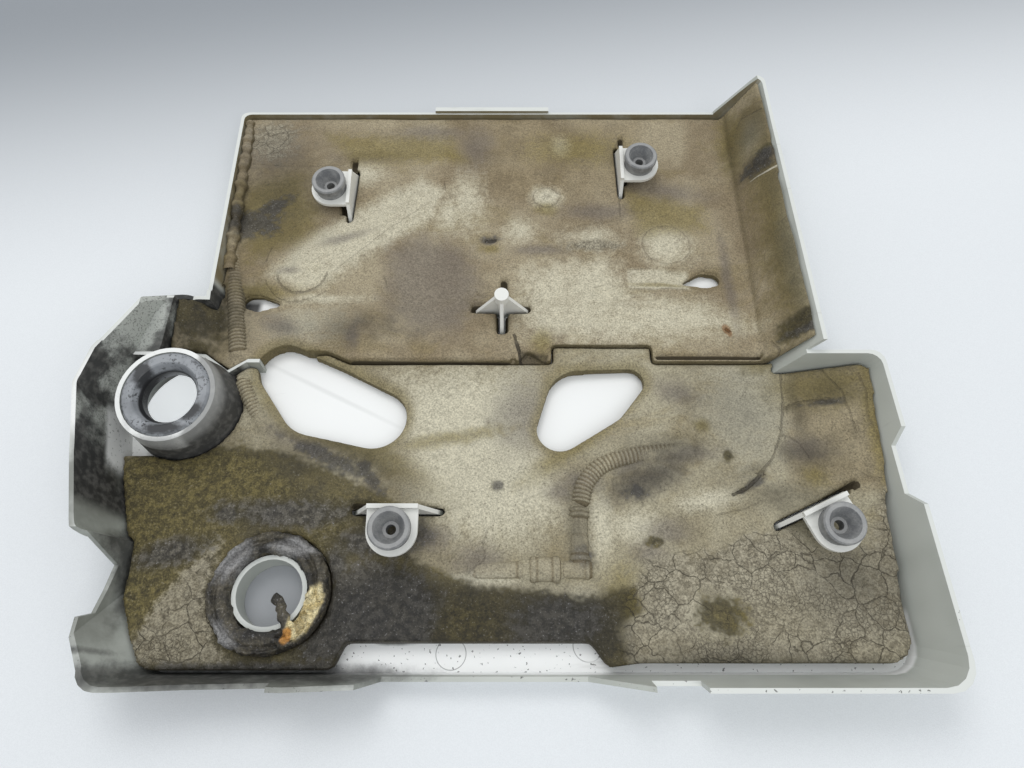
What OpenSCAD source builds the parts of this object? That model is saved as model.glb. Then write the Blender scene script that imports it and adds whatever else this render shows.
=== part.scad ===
// Engine cover laid down with its inner side up: one moulded shell, two foam
// pads, a foam ring round the dipstick hole, four rubber sockets on bracket
// towers and a rubber seal ring on the filler collar.
// Lengths in millimetres. X runs right, Y runs to the rear, Z runs up.

/* [Shell outline] */
// Centre to the right rim of the front tray
right_reach = 286; // [278:1:296]
// Centre to the left rim of the front tray
left_reach = 250; // [247:1:253]
// Centre to the front rim
front_reach = 256; // [252:1:264]
// Centre to the rear rim
rear_reach = 254; // [248:1:264]
// Centre to the left rim of the filler bay
bay_reach = 288; // [284:1:296]
// Centre to the rim of the right wing
wing_reach = 241; // [238:1:246]
// Centre to the shoulder where the front tray ends
shoulder_back = 27; // [25:1:30]
// Centre to the step between the two pads
step_back = 21; // [19:1:23]
// How far the walls lean in from the rim down to the floor
wall_lean = 13; // [11:0.5:15]

/* [Shell heights] */
// Thickness of the moulding
wall = 3; // [2.4:0.1:3.4]
// Height of the front, right and left rims
front_rim_z = 44; // [42:0.5:47]
// Height of the rim round the filler bay
bay_rim_z = 60; // [58:0.5:64]
// Height of the rim of the right wing
wing_rim_z = 58; // [56:0.5:62]
// Height of the rear rim
rear_rim_z = 18; // [17:0.5:22]
// Height of the rear left rim where it meets the bay
side_rim_z = 34; // [32:0.5:38]
// Height of the dip in the right rim
right_dip_z = 32; // [28:0.5:36]
// Height of the dip in the left rim
left_dip_z = 20; // [18:0.5:24]
// Height of the front rim along its low middle
front_low_z = 15; // [12:0.5:20]
// Width of the low middle of the front rim
front_low_w = 128; // [110:1:140]
// Height of the short dip in the front rim
front_dip_z = 26; // [22:0.5:34]
// Width of the short dip in the front rim
front_dip_w = 30; // [20:1:40]
// Height of the lip on the rear rim
rear_lip_z = 21; // [20:0.5:24]
// Length of the lip on the rear rim
rear_lip_w = 107; // [80:1:130]

/* [Floor step and foam pads] */
// Rise of the rear floor over the front floor, at the step
step_rise = 4; // [3:0.5:6]
// Thickness of both foam pads
foam_t = 12; // [10:0.5:14]
// Gap between a pad and the shell walls
pad_gap = 1; // [0.6:0.1:1.6]
// Gap between the two pads
joint_gap = 1; // [0.6:0.1:2]
// Depth of the bare floor band in front of the front pad
band_d = 15; // [11:0.5:19]
// Width of the bare floor band in front of the front pad
band_w = 170; // [140:1:200]
// Width of the tab of the front pad that lies in the rear pad
tab_w = 76; // [60:1:80]
// Depth of that tab
tab_d = 15; // [12:0.5:19]
// Rise of the front pad at its right rear corner, in degrees
corner_rise = 17.5; // [14:0.5:19]
// Height left under the crack in the rear pad
crack_z = 5; // [3:0.5:8]
// Width of the crack in the rear pad
crack_w = 4; // [2.5:0.5:6]

/* [Windows and slots in the pads] */
// Centre of the left window, to the left
left_window_x = 124; // [122:1:126]
// Centre of the left window, in front
left_window_y = 46; // [45:1:48]
// Centre of the right window, to the right
right_window_x = 77; // [75:1:79]
// Centre of the right window, in front
right_window_y = 56; // [54:1:58]
// Centre of the left small slot, to the left
left_slot_x = 187; // [185:1:189]
// Centre of the left small slot, behind
left_slot_y = 35; // [34:1:38]
// Centre of the right small slot, to the right
right_slot_x = 171; // [168:1:174]
// Centre of the right small slot, behind
right_slot_y = 58; // [56:1:61]
// Distance between the ends of the left window
left_window_l = 84; // [76:1:88]
// Radius of the wide middle of the left window
left_window_r = 30; // [27:0.5:32]
// Distance between the ends of the right window
right_window_l = 67; // [62:1:70]
// Radius of the wide middle of the right window
right_window_r = 26; // [23:0.5:27]
// Length of the two small slots
small_slot_l = 32; // [26:1:36]
// Breadth of the two small slots
small_slot_b = 15; // [12:0.5:17]

/* [Bracket towers] */
// Lean of the towers and the filler collar towards the front, in degrees
stud_lean = 8; // [6:0.5:10]
// Height of the top of the two rear sockets
rear_socket_z = 42; // [40:0.5:45]
// Height of the top of the two front sockets
front_socket_z = 45; // [42:0.5:48]
// Radius of the round end of a bracket shelf
shelf_r = 17; // [16.5:0.5:19]
// Thickness of a bracket shelf
shelf_t = 3; // [2.5:0.1:3.5]
// Thickness of a bracket plate
plate_t = 3; // [2.5:0.1:3.5]
// Width of a bracket plate at the floor
plate_base = 66; // [60:1:72]
// Socket axis to the near face of the bracket plate
plate_off = 14; // [13.5:0.5:16]
// How far a bracket plate stands over its shelf
plate_lip = 3; // [1:0.5:5]
// Gap between a bracket plate and the slot in the pad
slot_gap = 1.4; // [1:0.1:2]
// Rear left socket, to the left of the centre
rl_x = 141; // [137:1:145]
// Rear rim to the rear left socket
rl_back = 111; // [106:1:116]
// Rear right socket, to the right of the centre
rr_x = 127; // [122:1:132]
// Rear rim to the rear right socket
rr_back = 83; // [78:1:88]
// Front left socket, to the left of the centre
fl_x = 64; // [60:1:68]
// Front rim to the front left socket
fl_front = 97; // [93:1:101]
// Right rim to the front right socket
fr_side = 57; // [55:1:61]
// Front rim to the front right socket
fr_front = 100; // [96:1:103]
// Turn of the front right tower, in degrees
fr_turn = 24.5; // [20:0.5:28]

/* [Rubber sockets] */
// Outer diameter of a socket
socket_d = 28; // [26:0.5:30]
// Diameter of the mouth of the cup
cup_d = 21; // [19:0.5:22]
// Diameter of the flat at the foot of the cup
cup_foot_d = 11; // [9:0.5:13]
// Depth of the cup
cup_depth = 10; // [8:0.5:10.5]
// Diameter of the bore for the ball stud
bore_d = 6.8; // [6:0.1:7.6]
// Diameter of the neck in the shelf
neck_d = 18; // [16:0.5:19]
// Height of a socket over its shelf
socket_h = 12; // [11.5:0.5:13]
// Gap round the neck and under the shelf
neck_gap = 0.2; // [0.1:0.05:0.35]

/* [Filler collar and seal] */
// Centre of the collar, to the left
seal_x = 227; // [225:1:229]
// Centre of the collar, in front
seal_y = 65; // [62:1:68]
// Height of the top of the seal ring
seal_z = 50; // [48:0.5:52]
// Outer diameter of the seal ring
seal_d = 62; // [60:0.5:63]
// Diameter of the mouth of the seal ring
seal_mouth_d = 45; // [42:0.5:47]
// Diameter of the bore of the seal ring
seal_bore_d = 38; // [36:0.5:39]
// Height of the seal ring over its seat
seal_h = 10; // [9:0.5:12]
// Depth of the seat in the top of the collar
seat_depth = 9; // [7:0.5:9.5]
// Gap round the seal ring in its seat
seat_gap = 0.3; // [0.2:0.05:0.4]
// Outer diameter of the top of the collar
collar_top_d = 69; // [68:0.5:71]
// Outer diameter of the collar at its foot
collar_foot_d = 84; // [80:1:86]

/* [Dipstick hole and foam ring] */
// Centre of the hole, to the left
hole_x = 143; // [139:1:147]
// Front rim to the centre of the hole
hole_front = 62; // [61:1:65]
// Diameter of the hole
hole_d = 43; // [40:0.5:44]
// Height of the collar round the hole
hole_collar_z = 17; // [13:0.5:19]
// Outer diameter of the foam ring
ring_d = 78; // [74:1:80]
// Height of the top of the foam ring
ring_z = 24; // [21:0.5:27]
// Gap on both sides of the foam ring
ring_gap = 0.8; // [0.5:0.1:1.2]

/* [Centre post] */
// Height of the tip of the post
post_z = 44; // [40:0.5:48]
// Diameter of the tip
post_d = 11; // [9:0.5:12]
// Span of the four fins at the floor
fin_span = 42; // [38:1:46]
// Height at which the fins start to taper
fin_z = 13; // [11:0.5:16]
// Thickness of a fin
fin_t = 2.8; // [2.2:0.1:3.2]
// Post, to the right of the centre
post_x = 7; // [0:1:8]
// Post, behind the centre
post_y = 23; // [22:1:30]

/* [Prints in the pads] */
// Diameter of the ribbed hose prints
hose_d = 11; // [9:0.5:12]
// Centre of the round print, to the right
disc_x = 144; // [141:1:146]
// Centre of the round print, behind the step
disc_y = 111; // [109:1:114]
// Diameter of the round print beside the right slot
disc_d = 44; // [38:1:48]
// Height of the round print
disc_h = 1.2; // [0.8:0.1:2]

/* [Hidden] */
$fn = 64;
far = 400;
top_z = 66;
seg = 4;
front_pad_z = wall + foam_t;
high_z = wall + step_rise;
step_z = high_z + foam_t;
rl_y = rear_reach - rl_back;
rr_y = rear_reach - rr_back;
fl_y = front_reach - fl_front;
fr_x = right_reach - fr_side;
fr_y = front_reach - fr_front;
hole_y = front_reach - hole_front;
side_foot = 238;
wing_foot = wing_reach - 26;
gusset_x = seal_x + 13;
corner_x = right_reach - 74;
slope = step_rise / (rear_reach + step_back);
tilt = atan(slope);
collar_top = seat_depth - seal_h;
collar_slope = (collar_foot_d - collar_top_d) / 2 / (seal_z + collar_top);

// Outlines, as counter-clockwise lists of corners
function unit(v) = v / norm(v);
function before(p, i) = p[(i + len(p) - 1) % len(p)];
function after(p, i) = p[(i + 1) % len(p)];
function side_normal(a, b) = unit([b[1] - a[1], a[0] - b[0]]);
function inset(p, d) = [for (i = [0 : len(p) - 1])
  let (m = side_normal(before(p, i), p[i]), n = side_normal(p[i], after(p, i)))
  p[i] - (m + n) * d / (1 + m * n)];
function fillet(a, b, c, r) =
  let (u = unit(a - b), v = unit(c - b), h = acos(u * v) / 2)
  let (m = b + unit(u + v) * r / sin(h))
  let (s = b + u * r / tan(h) - m, e = b + v * r / tan(h) - m)
  let (a0 = atan2(s[1], s[0]), w = atan2(s[0] * e[1] - s[1] * e[0], s * e))
  [for (j = [0 : seg]) m + r * [cos(a0 + w * j / seg), sin(a0 + w * j / seg)]];
function rounded(p, r) = [for (i = [0 : len(p) - 1])
  each (r[i] == 0 ? [p[i]] : fillet(before(p, i), p[i], after(p, i), r[i]))];

// Corner lists of the three parts of the tray, at the ground and at top_z
function grow(z, rim) = wall_lean * (z - rim) / rim;
front_out = grow(top_z, front_rim_z);
front_top = [
  [-left_reach - front_out / 2, -front_reach - front_out],
  [right_reach + front_out, -front_reach - front_out],
  [right_reach + front_out, -shoulder_back + 1],
  [-left_reach - front_out / 2, -shoulder_back + 1],
  [-left_reach - front_out / 2, -180]];
front_foot = [
  [36 - left_reach, wall_lean - front_reach],
  [right_reach - wall_lean, wall_lean - front_reach],
  [right_reach - wall_lean, -shoulder_back],
  [6 - left_reach, -shoulder_back],
  [6 - left_reach, -184]];
front_r = [14, 17, 9, 0, 0];
bay_top = [[-205, -170], [-205, 33], [-236, 33], [29 - bay_reach, 11], [5 - bay_reach, -33],
  [-bay_reach, -61], [14 - bay_reach, -114], [30 - bay_reach, -168]];
bay_foot = [[-205, -160], [-205, 20], [-231, 20], [41 - bay_reach, 5], [19 - bay_reach, -36],
  [13 - bay_reach, -61], [25 - bay_reach, -112], [42 - bay_reach, -162]];
bay_r = [0, 0, 14, 10, 0, 9, 0, 8];
rear_top = [[18 - side_foot, -60], [wing_reach + 3, -60], [wing_reach + 5, rear_reach],
  [-side_foot - wall_lean - 0.3, rear_reach]];
rear_foot = [[31 - side_foot, -60], [wing_foot - 5, -60], [wing_foot, rear_reach - 3],
  [-side_foot, rear_reach - 3]];
rear_r = [0, 0, 8, 6];

// The low floor ends along this line; behind it the floor is raised
tab_x = 84.5;
low_edge = [[-far, -far], [far, -far], [far, -step_back],
  [tab_x + tab_w / 2 + 1, -step_back], [tab_x + tab_w / 2 + 1, tab_d - step_back],
  [tab_x - tab_w / 2 - 1, tab_d - step_back], [tab_x - tab_w / 2 - 1, -step_back],
  [-108, -step_back], [-128, 9 - step_back], [-164, 11 - step_back], [-177, -2 - step_back],
  [-188, -2 - step_back], [-201, -12 - step_back], [-220, 2 - step_back], [-252, 4 - step_back],
  [-248, 60], [-far, 60]];
// The raised floor itself begins further back beside the left window
floor_edge = [[-far, -far], [far, -far], [far, -step_back],
  [tab_x + tab_w / 2 + 1, -step_back], [tab_x + tab_w / 2 + 1, tab_d - step_back],
  [tab_x - tab_w / 2 - 1, tab_d - step_back], [tab_x - tab_w / 2 - 1, -step_back],
  [-84, -step_back], [-106, 22 - step_back], [-176, 22 - step_back], [-188, -2 - step_back],
  [-201, -12 - step_back], [-220, 2 - step_back], [-252, 4 - step_back], [-248, 60], [-far, 60]];
rib_edge = [[-178, -2 - step_back], [-178, 1 - step_back], [-187, 1 - step_back],
  [-201, -9 - step_back], [-220, 5 - step_back], [-240, 7 - step_back], [-240, 3 - step_back],
  [-220, 2 - step_back], [-201, -12 - step_back], [-188, -2 - step_back]];

// A solid between two outlines, carried on past both of them by e
module loft(lower, upper, e) {
  n = len(lower);
  f = e / top_z;
  down = [for (i = [0 : n - 1]) lower[i] + (lower[i] - upper[i]) * f];
  up = [for (i = [0 : n - 1]) upper[i] + (upper[i] - lower[i]) * f];
  polyhedron(
    points = concat([for (q = down) [q[0], q[1], -e]], [for (q = up) [q[0], q[1], top_z + e]]),
    faces = concat([[for (i = [0 : n - 1]) i]], [[for (i = [n - 1 : -1 : 0]) n + i]],
      [for (i = [0 : n - 1]) each [[i, n + i, n + (i + 1) % n], [i, n + (i + 1) % n, (i + 1) % n]]]));
}

// The three parts of the tray, each drawn in by d on all sides
module front_part(d) {
  loft(rounded(inset(front_foot, d), front_r), rounded(inset(front_top, d), front_r), d);
}
module bay_part(d) {
  loft(rounded(inset(bay_foot, d), bay_r), rounded(inset(bay_top, d), bay_r), d);
}
module rear_part(d) {
  loft(rounded(inset(rear_foot, d), rear_r), rounded(inset(rear_top, d), rear_r), d);
}
module whole_room(d) {
  union() {
    front_part(d);
    bay_part(d);
    rear_part(d);
  }
}
// A profile drawn over Y and Z, pulled along X from x0 to x1
module along_x(x0, x1, profile) {
  translate([x0, 0, 0])
    rotate([90, 0, 90])
      linear_extrude(x1 - x0)
        polygon(profile);
}
// A profile drawn over X and Z, pulled along Y from y0 to y1
module along_y(y0, y1, profile) {
  translate([0, y1, 0])
    rotate([90, 0, 0])
      linear_extrude(y1 - y0)
        polygon(profile);
}
module above_ground(z0) {
  translate([-far, -far, z0])
    cube([2 * far, 2 * far, far]);
}

// Everything over the line of the rim
module over_rim() {
  translate([14 - left_reach, -far, front_rim_z])
    cube([2 * far, far - shoulder_back + 1, far]);
  along_x(-far, 15 - left_reach, [[-far, front_rim_z], [-214, front_rim_z], [-209, left_dip_z + 9],
    [-194, left_dip_z + 4], [-177, left_dip_z], [-170, left_dip_z + 20], [-162, bay_rim_z + 2],
    [-162, far], [-far, far]]);
  along_y(-far, -200, [[-far, front_rim_z - 2], [-216, front_rim_z - 2],
    [-178, front_rim_z - 8], [-129, front_rim_z - 12], [-128, front_rim_z - 2],
    [-118, front_rim_z - 1], [-14 - front_low_w / 2, front_rim_z - 8],
    [-2 - front_low_w / 2, front_low_z], [-2 + front_low_w / 2, front_low_z],
    [35 + front_low_w / 2, front_rim_z - 2], [35 + front_low_w / 2, front_dip_z],
    [35 + front_low_w / 2 + front_dip_w, front_dip_z],
    [35 + front_low_w / 2 + front_dip_w, front_rim_z + 1],
    [35 + front_low_w / 2 + front_dip_w, far], [-far, far]]);
  along_x(right_reach - 22, far, [[-86, front_rim_z + 2], [-97, right_dip_z], [-132, right_dip_z],
    [-145, front_rim_z + 2], [-145, far], [-86, far]]);
  along_y(-shoulder_back - 1, 34, [[-far, bay_rim_z], [-258, bay_rim_z - 1],
    [-232, side_rim_z + 2], [-190, side_rim_z], [-190, far], [-far, far]]);
  along_x(-far, wing_foot - 9, [[33, side_rim_z], [rear_reach, rear_rim_z], [far, rear_rim_z],
    [far, far], [33, far]]);
  along_y(100, far, [[wing_foot - 10, rear_rim_z], [wing_reach - 5, wing_rim_z],
    [wing_reach - 5, far], [wing_foot - 10, far]]);
  translate([-far, -far, bay_rim_z])
    cube([far, 2 * far, far]);
  translate([150, -far, wing_rim_z])
    cube([far, 2 * far, far]);
}

// The space in front of the step, drawn in by d
module low_area(d) {
  translate([0, 0, -20])
    linear_extrude(far)
      polygon(inset(low_edge, d));
}
// A layer that follows the raised floor, from z0 to z1 over it
module high_layer(z0, z1) {
  y0 = -step_back - 70;
  y1 = rear_reach + 40;
  along_x(-far, far, [[y0, high_z + 70 * slope + z0], [y1, high_z - (y1 + step_back) * slope + z0],
    [y1, high_z - (y1 + step_back) * slope + z1], [y0, high_z + 70 * slope + z1]]);
}
module under_high_floor() {
  difference() {
    high_layer(-wall - 60, -wall);
    translate([0, 0, -20])
      linear_extrude(far)
        polygon(inset(floor_edge, -wall));
  }
}
// The hollow of the tray, drawn in by d from the walls and filled from the floor up
module hollow(d) {
  intersection() {
    whole_room(wall + d);
    union() {
      intersection() {
        linear_extrude(far)
          polygon(floor_edge);
        above_ground(wall);
      }
      high_layer(0, far);
    }
  }
}

module tray() {
  difference() {
    whole_room(0);
    hollow(0);
    over_rim();
  }
}

// Places its child at a socket: z = 0 is the top of the rubber, local +Y holds the plate
module at_socket(x, y, z, turn) {
  translate([x, y, z])
    rotate([stud_lean, 0, 0])
      rotate([0, 0, turn])
        children();
}
module at_rear_left() at_socket(-rl_x, rl_y, rear_socket_z, -90) children();
module at_rear_right() at_socket(rr_x, rr_y, rear_socket_z, 90) children();
module at_front_left() at_socket(-fl_x, -fl_y, front_socket_z, 0) children();
module at_front_right() at_socket(fr_x, -fr_y, front_socket_z, fr_turn) children();

module tower(z) {
  drop = z - socket_h;
  reach = 60;
  foot = shelf_r + (plate_base / 2 - shelf_r) * reach / drop;
  translate([0, 0, -socket_h - shelf_t])
    linear_extrude(shelf_t)
      union() {
        circle(shelf_r);
        translate([-shelf_r, 0])
          square([2 * shelf_r, plate_off + plate_t / 2]);
      }
  along_y(plate_off, plate_off + plate_t, [[-shelf_r, plate_lip - socket_h], [-shelf_r, -socket_h],
    [-foot, -socket_h - reach], [foot, -socket_h - reach], [shelf_r, -socket_h],
    [shelf_r, plate_lip - socket_h]]);
}
module tower_hole() {
  translate([0, 0, -socket_h - shelf_t - 1])
    cylinder(d = neck_d + 2 * neck_gap, h = shelf_t + 2);
}

module towers() {
  difference() {
    union() {
      at_rear_left() tower(rear_socket_z);
      at_rear_right() tower(rear_socket_z);
      at_front_left() tower(front_socket_z);
      at_front_right() tower(front_socket_z);
    }
    translate([-far, -far, wall / 2 - far])
      cube([2 * far, 2 * far, far]);
    at_rear_left() tower_hole();
    at_rear_right() tower_hole();
    at_front_left() tower_hole();
    at_front_right() tower_hole();
  }
}

module at_seal() {
  translate([-seal_x, -seal_y, seal_z])
    rotate([stud_lean, 0, 0])
      children();
}
module seal_collar(grow) {
  deep = 60;
  at_seal()
    translate([0, 0, collar_top - deep])
      cylinder(h = deep, d1 = collar_top_d + 2 * collar_slope * deep + grow, d2 = collar_top_d + grow);
}
module collar_room() {
  intersection() {
    seal_collar(-2 * wall);
    at_seal()
      translate([0, 0, -seal_h - wall - 90])
        cylinder(h = 90, d = 200);
  }
  at_seal()
    translate([0, 0, -seal_h])
      cylinder(h = 30, d = seal_d + 2 * seat_gap);
  at_seal()
    translate([0, 0, -seal_h - 10])
      cylinder(h = 20, d = seal_bore_d + 5 + 2 * neck_gap);
}

module at_post() {
  translate([post_x, post_y, post_z])
    rotate([stud_lean, 0, 0])
      children();
}
module post() {
  reach = 60;
  at_post() {
    translate([0, 0, -8])
      cylinder(d = post_d, h = 8);
    translate([0, 0, -reach])
      cylinder(d = post_d * 0.6, h = reach - 4);
    for (turn = [0, 90])
      rotate([0, 0, turn])
        along_y(-fin_t / 2, fin_t / 2, [[-fin_span / 2, -reach], [fin_span / 2, -reach],
          [fin_span / 2, fin_z - post_z], [post_d / 2, -6], [-post_d / 2, -6],
          [-fin_span / 2, fin_z - post_z]]);
  }
}

// The low rib between the filler bay and the rear pad
module bay_rib() {
  translate([0, 0, wall / 2])
    linear_extrude(step_z - wall / 2 + 0.5)
      polygon(rib_edge);
}

// The tapered gusset between the rear wall of the bay and the collar
module spike() {
  intersection() {
    translate([0, 0, wall / 2])
      linear_extrude(bay_rim_z - 4)
        polygon([[-gusset_x, 19], [-7 - gusset_x, 19], [-37 - gusset_x, -17],
          [-35 - gusset_x, -24], [-10 - gusset_x, -25], [-7 - gusset_x, -17]]);
    along_x(-far, 0, [[-60, 0], [-60, 30], [-22, 34], [17, 48], [40, 48], [40, 0]]);
    whole_room(0);
  }
}

module cover_shell() {
  color("#d9dbd6")
    difference() {
      union() {
        tray();
        towers();
        post();
        bay_rib();
        spike();
        translate([-4 - rear_lip_w / 2, rear_reach - wall - 0.5, rear_rim_z - 8])
          cube([rear_lip_w, wall + 2, rear_lip_z - rear_rim_z + 8]);
        translate([-hole_x, -hole_y, wall / 2])
          cylinder(d = hole_d + 2 * wall, h = hole_collar_z - wall / 2);
        intersection() {
          seal_collar(0);
          above_ground(0);
          whole_room(0);
        }
      }
      under_high_floor();
      collar_room();
      translate([-hole_x, -hole_y, -5])
        cylinder(d = hole_d, h = 40);
    }
}
// Slots that let the towers and the post through the pads
module tower_slot(z) {
  drop = z - socket_h;
  foot = shelf_r + (plate_base / 2 - shelf_r) * 60 / drop;
  along_y(plate_off - slot_gap, plate_off + plate_t + slot_gap, [[-shelf_r - slot_gap, 0],
    [-foot - slot_gap, -socket_h - 60], [foot + slot_gap, -socket_h - 60], [shelf_r + slot_gap, 0]]);
}
module post_slot() {
  at_post()
    translate([0, 0, -60]) {
      for (turn = [0, 90])
        rotate([0, 0, turn])
          translate([-fin_span / 2 - 2, -fin_t / 2 - slot_gap, 0])
            cube([fin_span + 4, fin_t + 2 * slot_gap, 80]);
      cylinder(d = post_d + 1, h = 80);
    }
}
module blob(x, y, r) {
  translate([x, y])
    circle(r);
}
// Egg-shaped windows: circles wrapped together, set along each window's long axis
module windows() {
  translate([-left_window_x, -left_window_y, 0])
    rotate([0, 0, -29.3])
      linear_extrude(far)
        hull() {
          blob(-left_window_l / 2, 0, left_window_r * 0.66);
          blob(-3, -7, left_window_r);
          blob(left_window_l / 2, 0, left_window_r * 0.8);
        }
  translate([right_window_x, -right_window_y, 0])
    rotate([0, 0, 36.5])
      linear_extrude(far)
        hull() {
          blob(-right_window_l / 2, 0, right_window_r * 0.65);
          blob(-6, 9, right_window_r);
          blob(6, -3, right_window_r * 0.65);
          blob(right_window_l / 2, 0, right_window_r * 0.46);
        }
}
module small_slot(x, y, turn) {
  translate([x, y, 0])
    rotate([0, 0, turn])
      linear_extrude(far)
        hull() {
          blob(-small_slot_l / 2 + 1.5, -1, 1.5);
          blob(small_slot_l / 2 - small_slot_b * 0.42, 0, small_slot_b * 0.42);
          blob(small_slot_l * 0.08, 0.5, small_slot_b / 2);
        }
}

module front_foam_pad() {
  front_y = wall_lean - front_reach + wall - 4;
  color("#6b6440")
    difference() {
      intersection() {
        union() {
          translate([-far, -far, wall])
            cube([2 * far, 2 * far, foam_t]);
          translate([corner_x, -step_back - 9, 0])
            rotate([0, 0, 19])
              along_y(-far, far, [[-20, wall], [-8, front_pad_z - 8 * tan(corner_rise)],
                [far, front_pad_z + far * tan(corner_rise)], [far, wall]]);
          hose_front();
        }
        hollow(pad_gap);
        low_area(joint_gap);
      }
      linear_extrude(far)
        polygon([[-14 - band_w / 2, front_y], [-14 + band_w / 2 + 6, front_y],
          [-14 + band_w / 2 - 6, front_y + band_d + 4], [-14 - band_w / 2 + 8, front_y + band_d + 4]]);
      windows();
      at_front_left() tower_slot(front_socket_z);
      at_front_right() tower_slot(front_socket_z);
      translate([-hole_x, -hole_y, 0])
        cylinder(d = ring_d + 2 * ring_gap, h = far);
      intersection() {
        seal_collar(2 * pad_gap);
        above_ground(0);
      }
      linear_extrude(far)
        polygon([[-far, -seal_y - 32], [-seal_x - 11, -seal_y - 32], [-seal_x, -seal_y],
          [-seal_x, 30], [-far, 30]]);
    }
}

module rear_foam_pad() {
  back = -step_back;
  color("#7d7450")
    difference() {
      intersection() {
        union() {
          high_layer(-far, foam_t);
          side_foam();
          wing_foam(back - 2, wing_reach - 9);
          lobe();
          hose_rear();
          on_rear_pad()
            translate([disc_x, disc_y, -disc_h])
              cylinder(d = disc_d, h = 2 * disc_h);
        }
        hollow(pad_gap);
      }
      low_area(0);
      linear_extrude(far)
        polygon(inset(rib_edge, -0.5));
      linear_extrude(far)
        polygon([[-260, back - 5], [-219, back - 5], [-219, back + 4.5], [-260, back + 7]]);
      linear_extrude(far)
        polygon([[1 - gusset_x, 50], [1 - gusset_x, 19], [-6 - gusset_x, -17],
          [-9 - gusset_x, -30], [-far, -30], [-far, 50]]);
      intersection() {
        seal_collar(2 * pad_gap);
        above_ground(0);
      }
      windows();
      small_slot(-left_slot_x, left_slot_y, 174);
      small_slot(right_slot_x, right_slot_y, 5);
      at_rear_left() tower_slot(rear_socket_z);
      at_rear_right() tower_slot(rear_socket_z);
      post_slot();
      intersection() {
        high_layer(crack_z, far);
        linear_extrude(far)
          union() {
            polygon([[16 - crack_w / 2, back - 1], [16 + crack_w / 2, back - 1],
              [17.5, back + 27], [16.5, back + 27]]);
            polygon([[20, back - 1], [26, back + 10], [42, back - 1]]);
          }
      }
    }
}
// The top face of the rear pad at the step: z = 0 is that face, y = 0 is its front edge
module on_rear_pad() {
  translate([0, -step_back, step_z])
    rotate([-tilt, 0, 0])
      children();
}
module wing_foam(y0, x1) {
  y1 = rear_reach;
  z1 = wing_rim_z - 2;
  zr = front_pad_z;
  polyhedron(
    points = [[wing_foot - 25, y0, 0], [wing_foot - 10, y0, step_z - 1], [x1, y0, z1],
      [x1 + 14, y0, z1], [x1 + 14, y0, 0], [wing_foot - 25, y1, 0], [wing_foot - 3, y1, zr - 1],
      [x1 + 2, y1, z1], [x1 + 14, y1, z1], [x1 + 14, y1, 0]],
    faces = [[0, 1, 2, 3, 4], [9, 8, 7, 6, 5], [0, 4, 9, 5], [3, 8, 9, 4], [2, 7, 8, 3], [0, 5, 6],
      [0, 6, 1], [1, 6, 7], [1, 7, 2]]);
}
module side_foam() {
  y0 = 26;
  y1 = rear_reach;
  z0 = side_rim_z - 1.5;
  z1 = rear_rim_z - 1;
  polyhedron(
    points = [[-side_foot - 22, y0, 0], [25 - side_foot, y0, 0], [25 - side_foot, y0, step_z - 1.7],
      [19 - side_foot, y0, z0], [-side_foot - 22, y0, z0], [-side_foot - 52, y1, 0],
      [7 - side_foot, y1, 0], [7 - side_foot, y1, front_pad_z - 1], [1 - side_foot, y1, z1],
      [-side_foot - 52, y1, z1]],
    faces = [[4, 3, 2, 1, 0], [5, 6, 7, 8, 9], [1, 6, 5, 0], [7, 6, 1], [2, 7, 1], [8, 7, 2],
      [3, 8, 2], [9, 8, 3], [4, 9, 3], [0, 5, 9, 4]]);
}
module lobe() {
  y = 2 - step_back;
  polyhedron(
    points = [[-256, y, 0], [-211, y, 0], [-211, 27, 0], [-221, 42, 0], [-256, 42, 0],
      [-256, y, 26], [-211, y, step_z - 0.3], [-211, 27, step_z - 1], [-221, 42, side_rim_z - 2],
      [-256, 42, 62]],
    faces = [[0, 1, 2, 3, 4], [0, 5, 6, 1], [1, 6, 7, 2], [2, 7, 8, 3], [3, 8, 9, 4], [4, 9, 5, 0],
      [6, 8, 7], [6, 9, 8], [6, 5, 9]]);
}

// Hose prints, standing proud of the foam as half tubes
module rod(a, b, d) {
  v = b - a;
  translate(a)
    rotate([0, 0, atan2(v[1], v[0])])
      rotate([0, 90, 0])
        cylinder(d = d, h = norm(v), $fn = 32);
}
module hose_front() {
  translate([0, 0, front_pad_z - 1.5]) {
    translate([105, -142, 0])
      rotate_extrude(angle = 90, start = 90)
        translate([45, 0])
          circle(d = hose_d, $fn = 32);
    rod([60, -141, 0], [59, -173, 0], hose_d + 1);
    rod([104, -97, 0], [146, -94, 0], hose_d + 1);
    rod([-14, -179, 0], [64, -179, 0], hose_d);
    rod([22, -179, 0], [47, -179, 0], hose_d + 6);
    rod([-192, -34, 0], [-165, -78, 0], hose_d);
  }
}
module hose_rear() {
  on_rear_pad()
    translate([0, 0, -1.5])
      rod([-195, 3, 0], [-222, 120, 0], hose_d + 1);
}

module foam_collar() {
  inner = hole_d / 2 + wall + ring_gap;
  outer = ring_d / 2;
  edge = 5;
  color("#2f2c20")
    translate([-hole_x, -hole_y, 0])
      difference() {
        rotate_extrude($fn = 96)
          union() {
            translate([inner, wall])
              square([outer - inner, ring_z - edge - wall]);
            translate([inner + edge, ring_z - edge - 1])
              square([outer - inner - 2 * edge, edge + 1]);
            translate([inner + edge, ring_z - edge])
              circle(edge, $fn = 32);
            translate([outer - edge, ring_z - edge])
              circle(edge, $fn = 32);
          }
        rotate([0, 0, -42])
          translate([inner + 2, 0, ring_z - 5])
            cylinder(d = 15, h = 12);
      }
}

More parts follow.
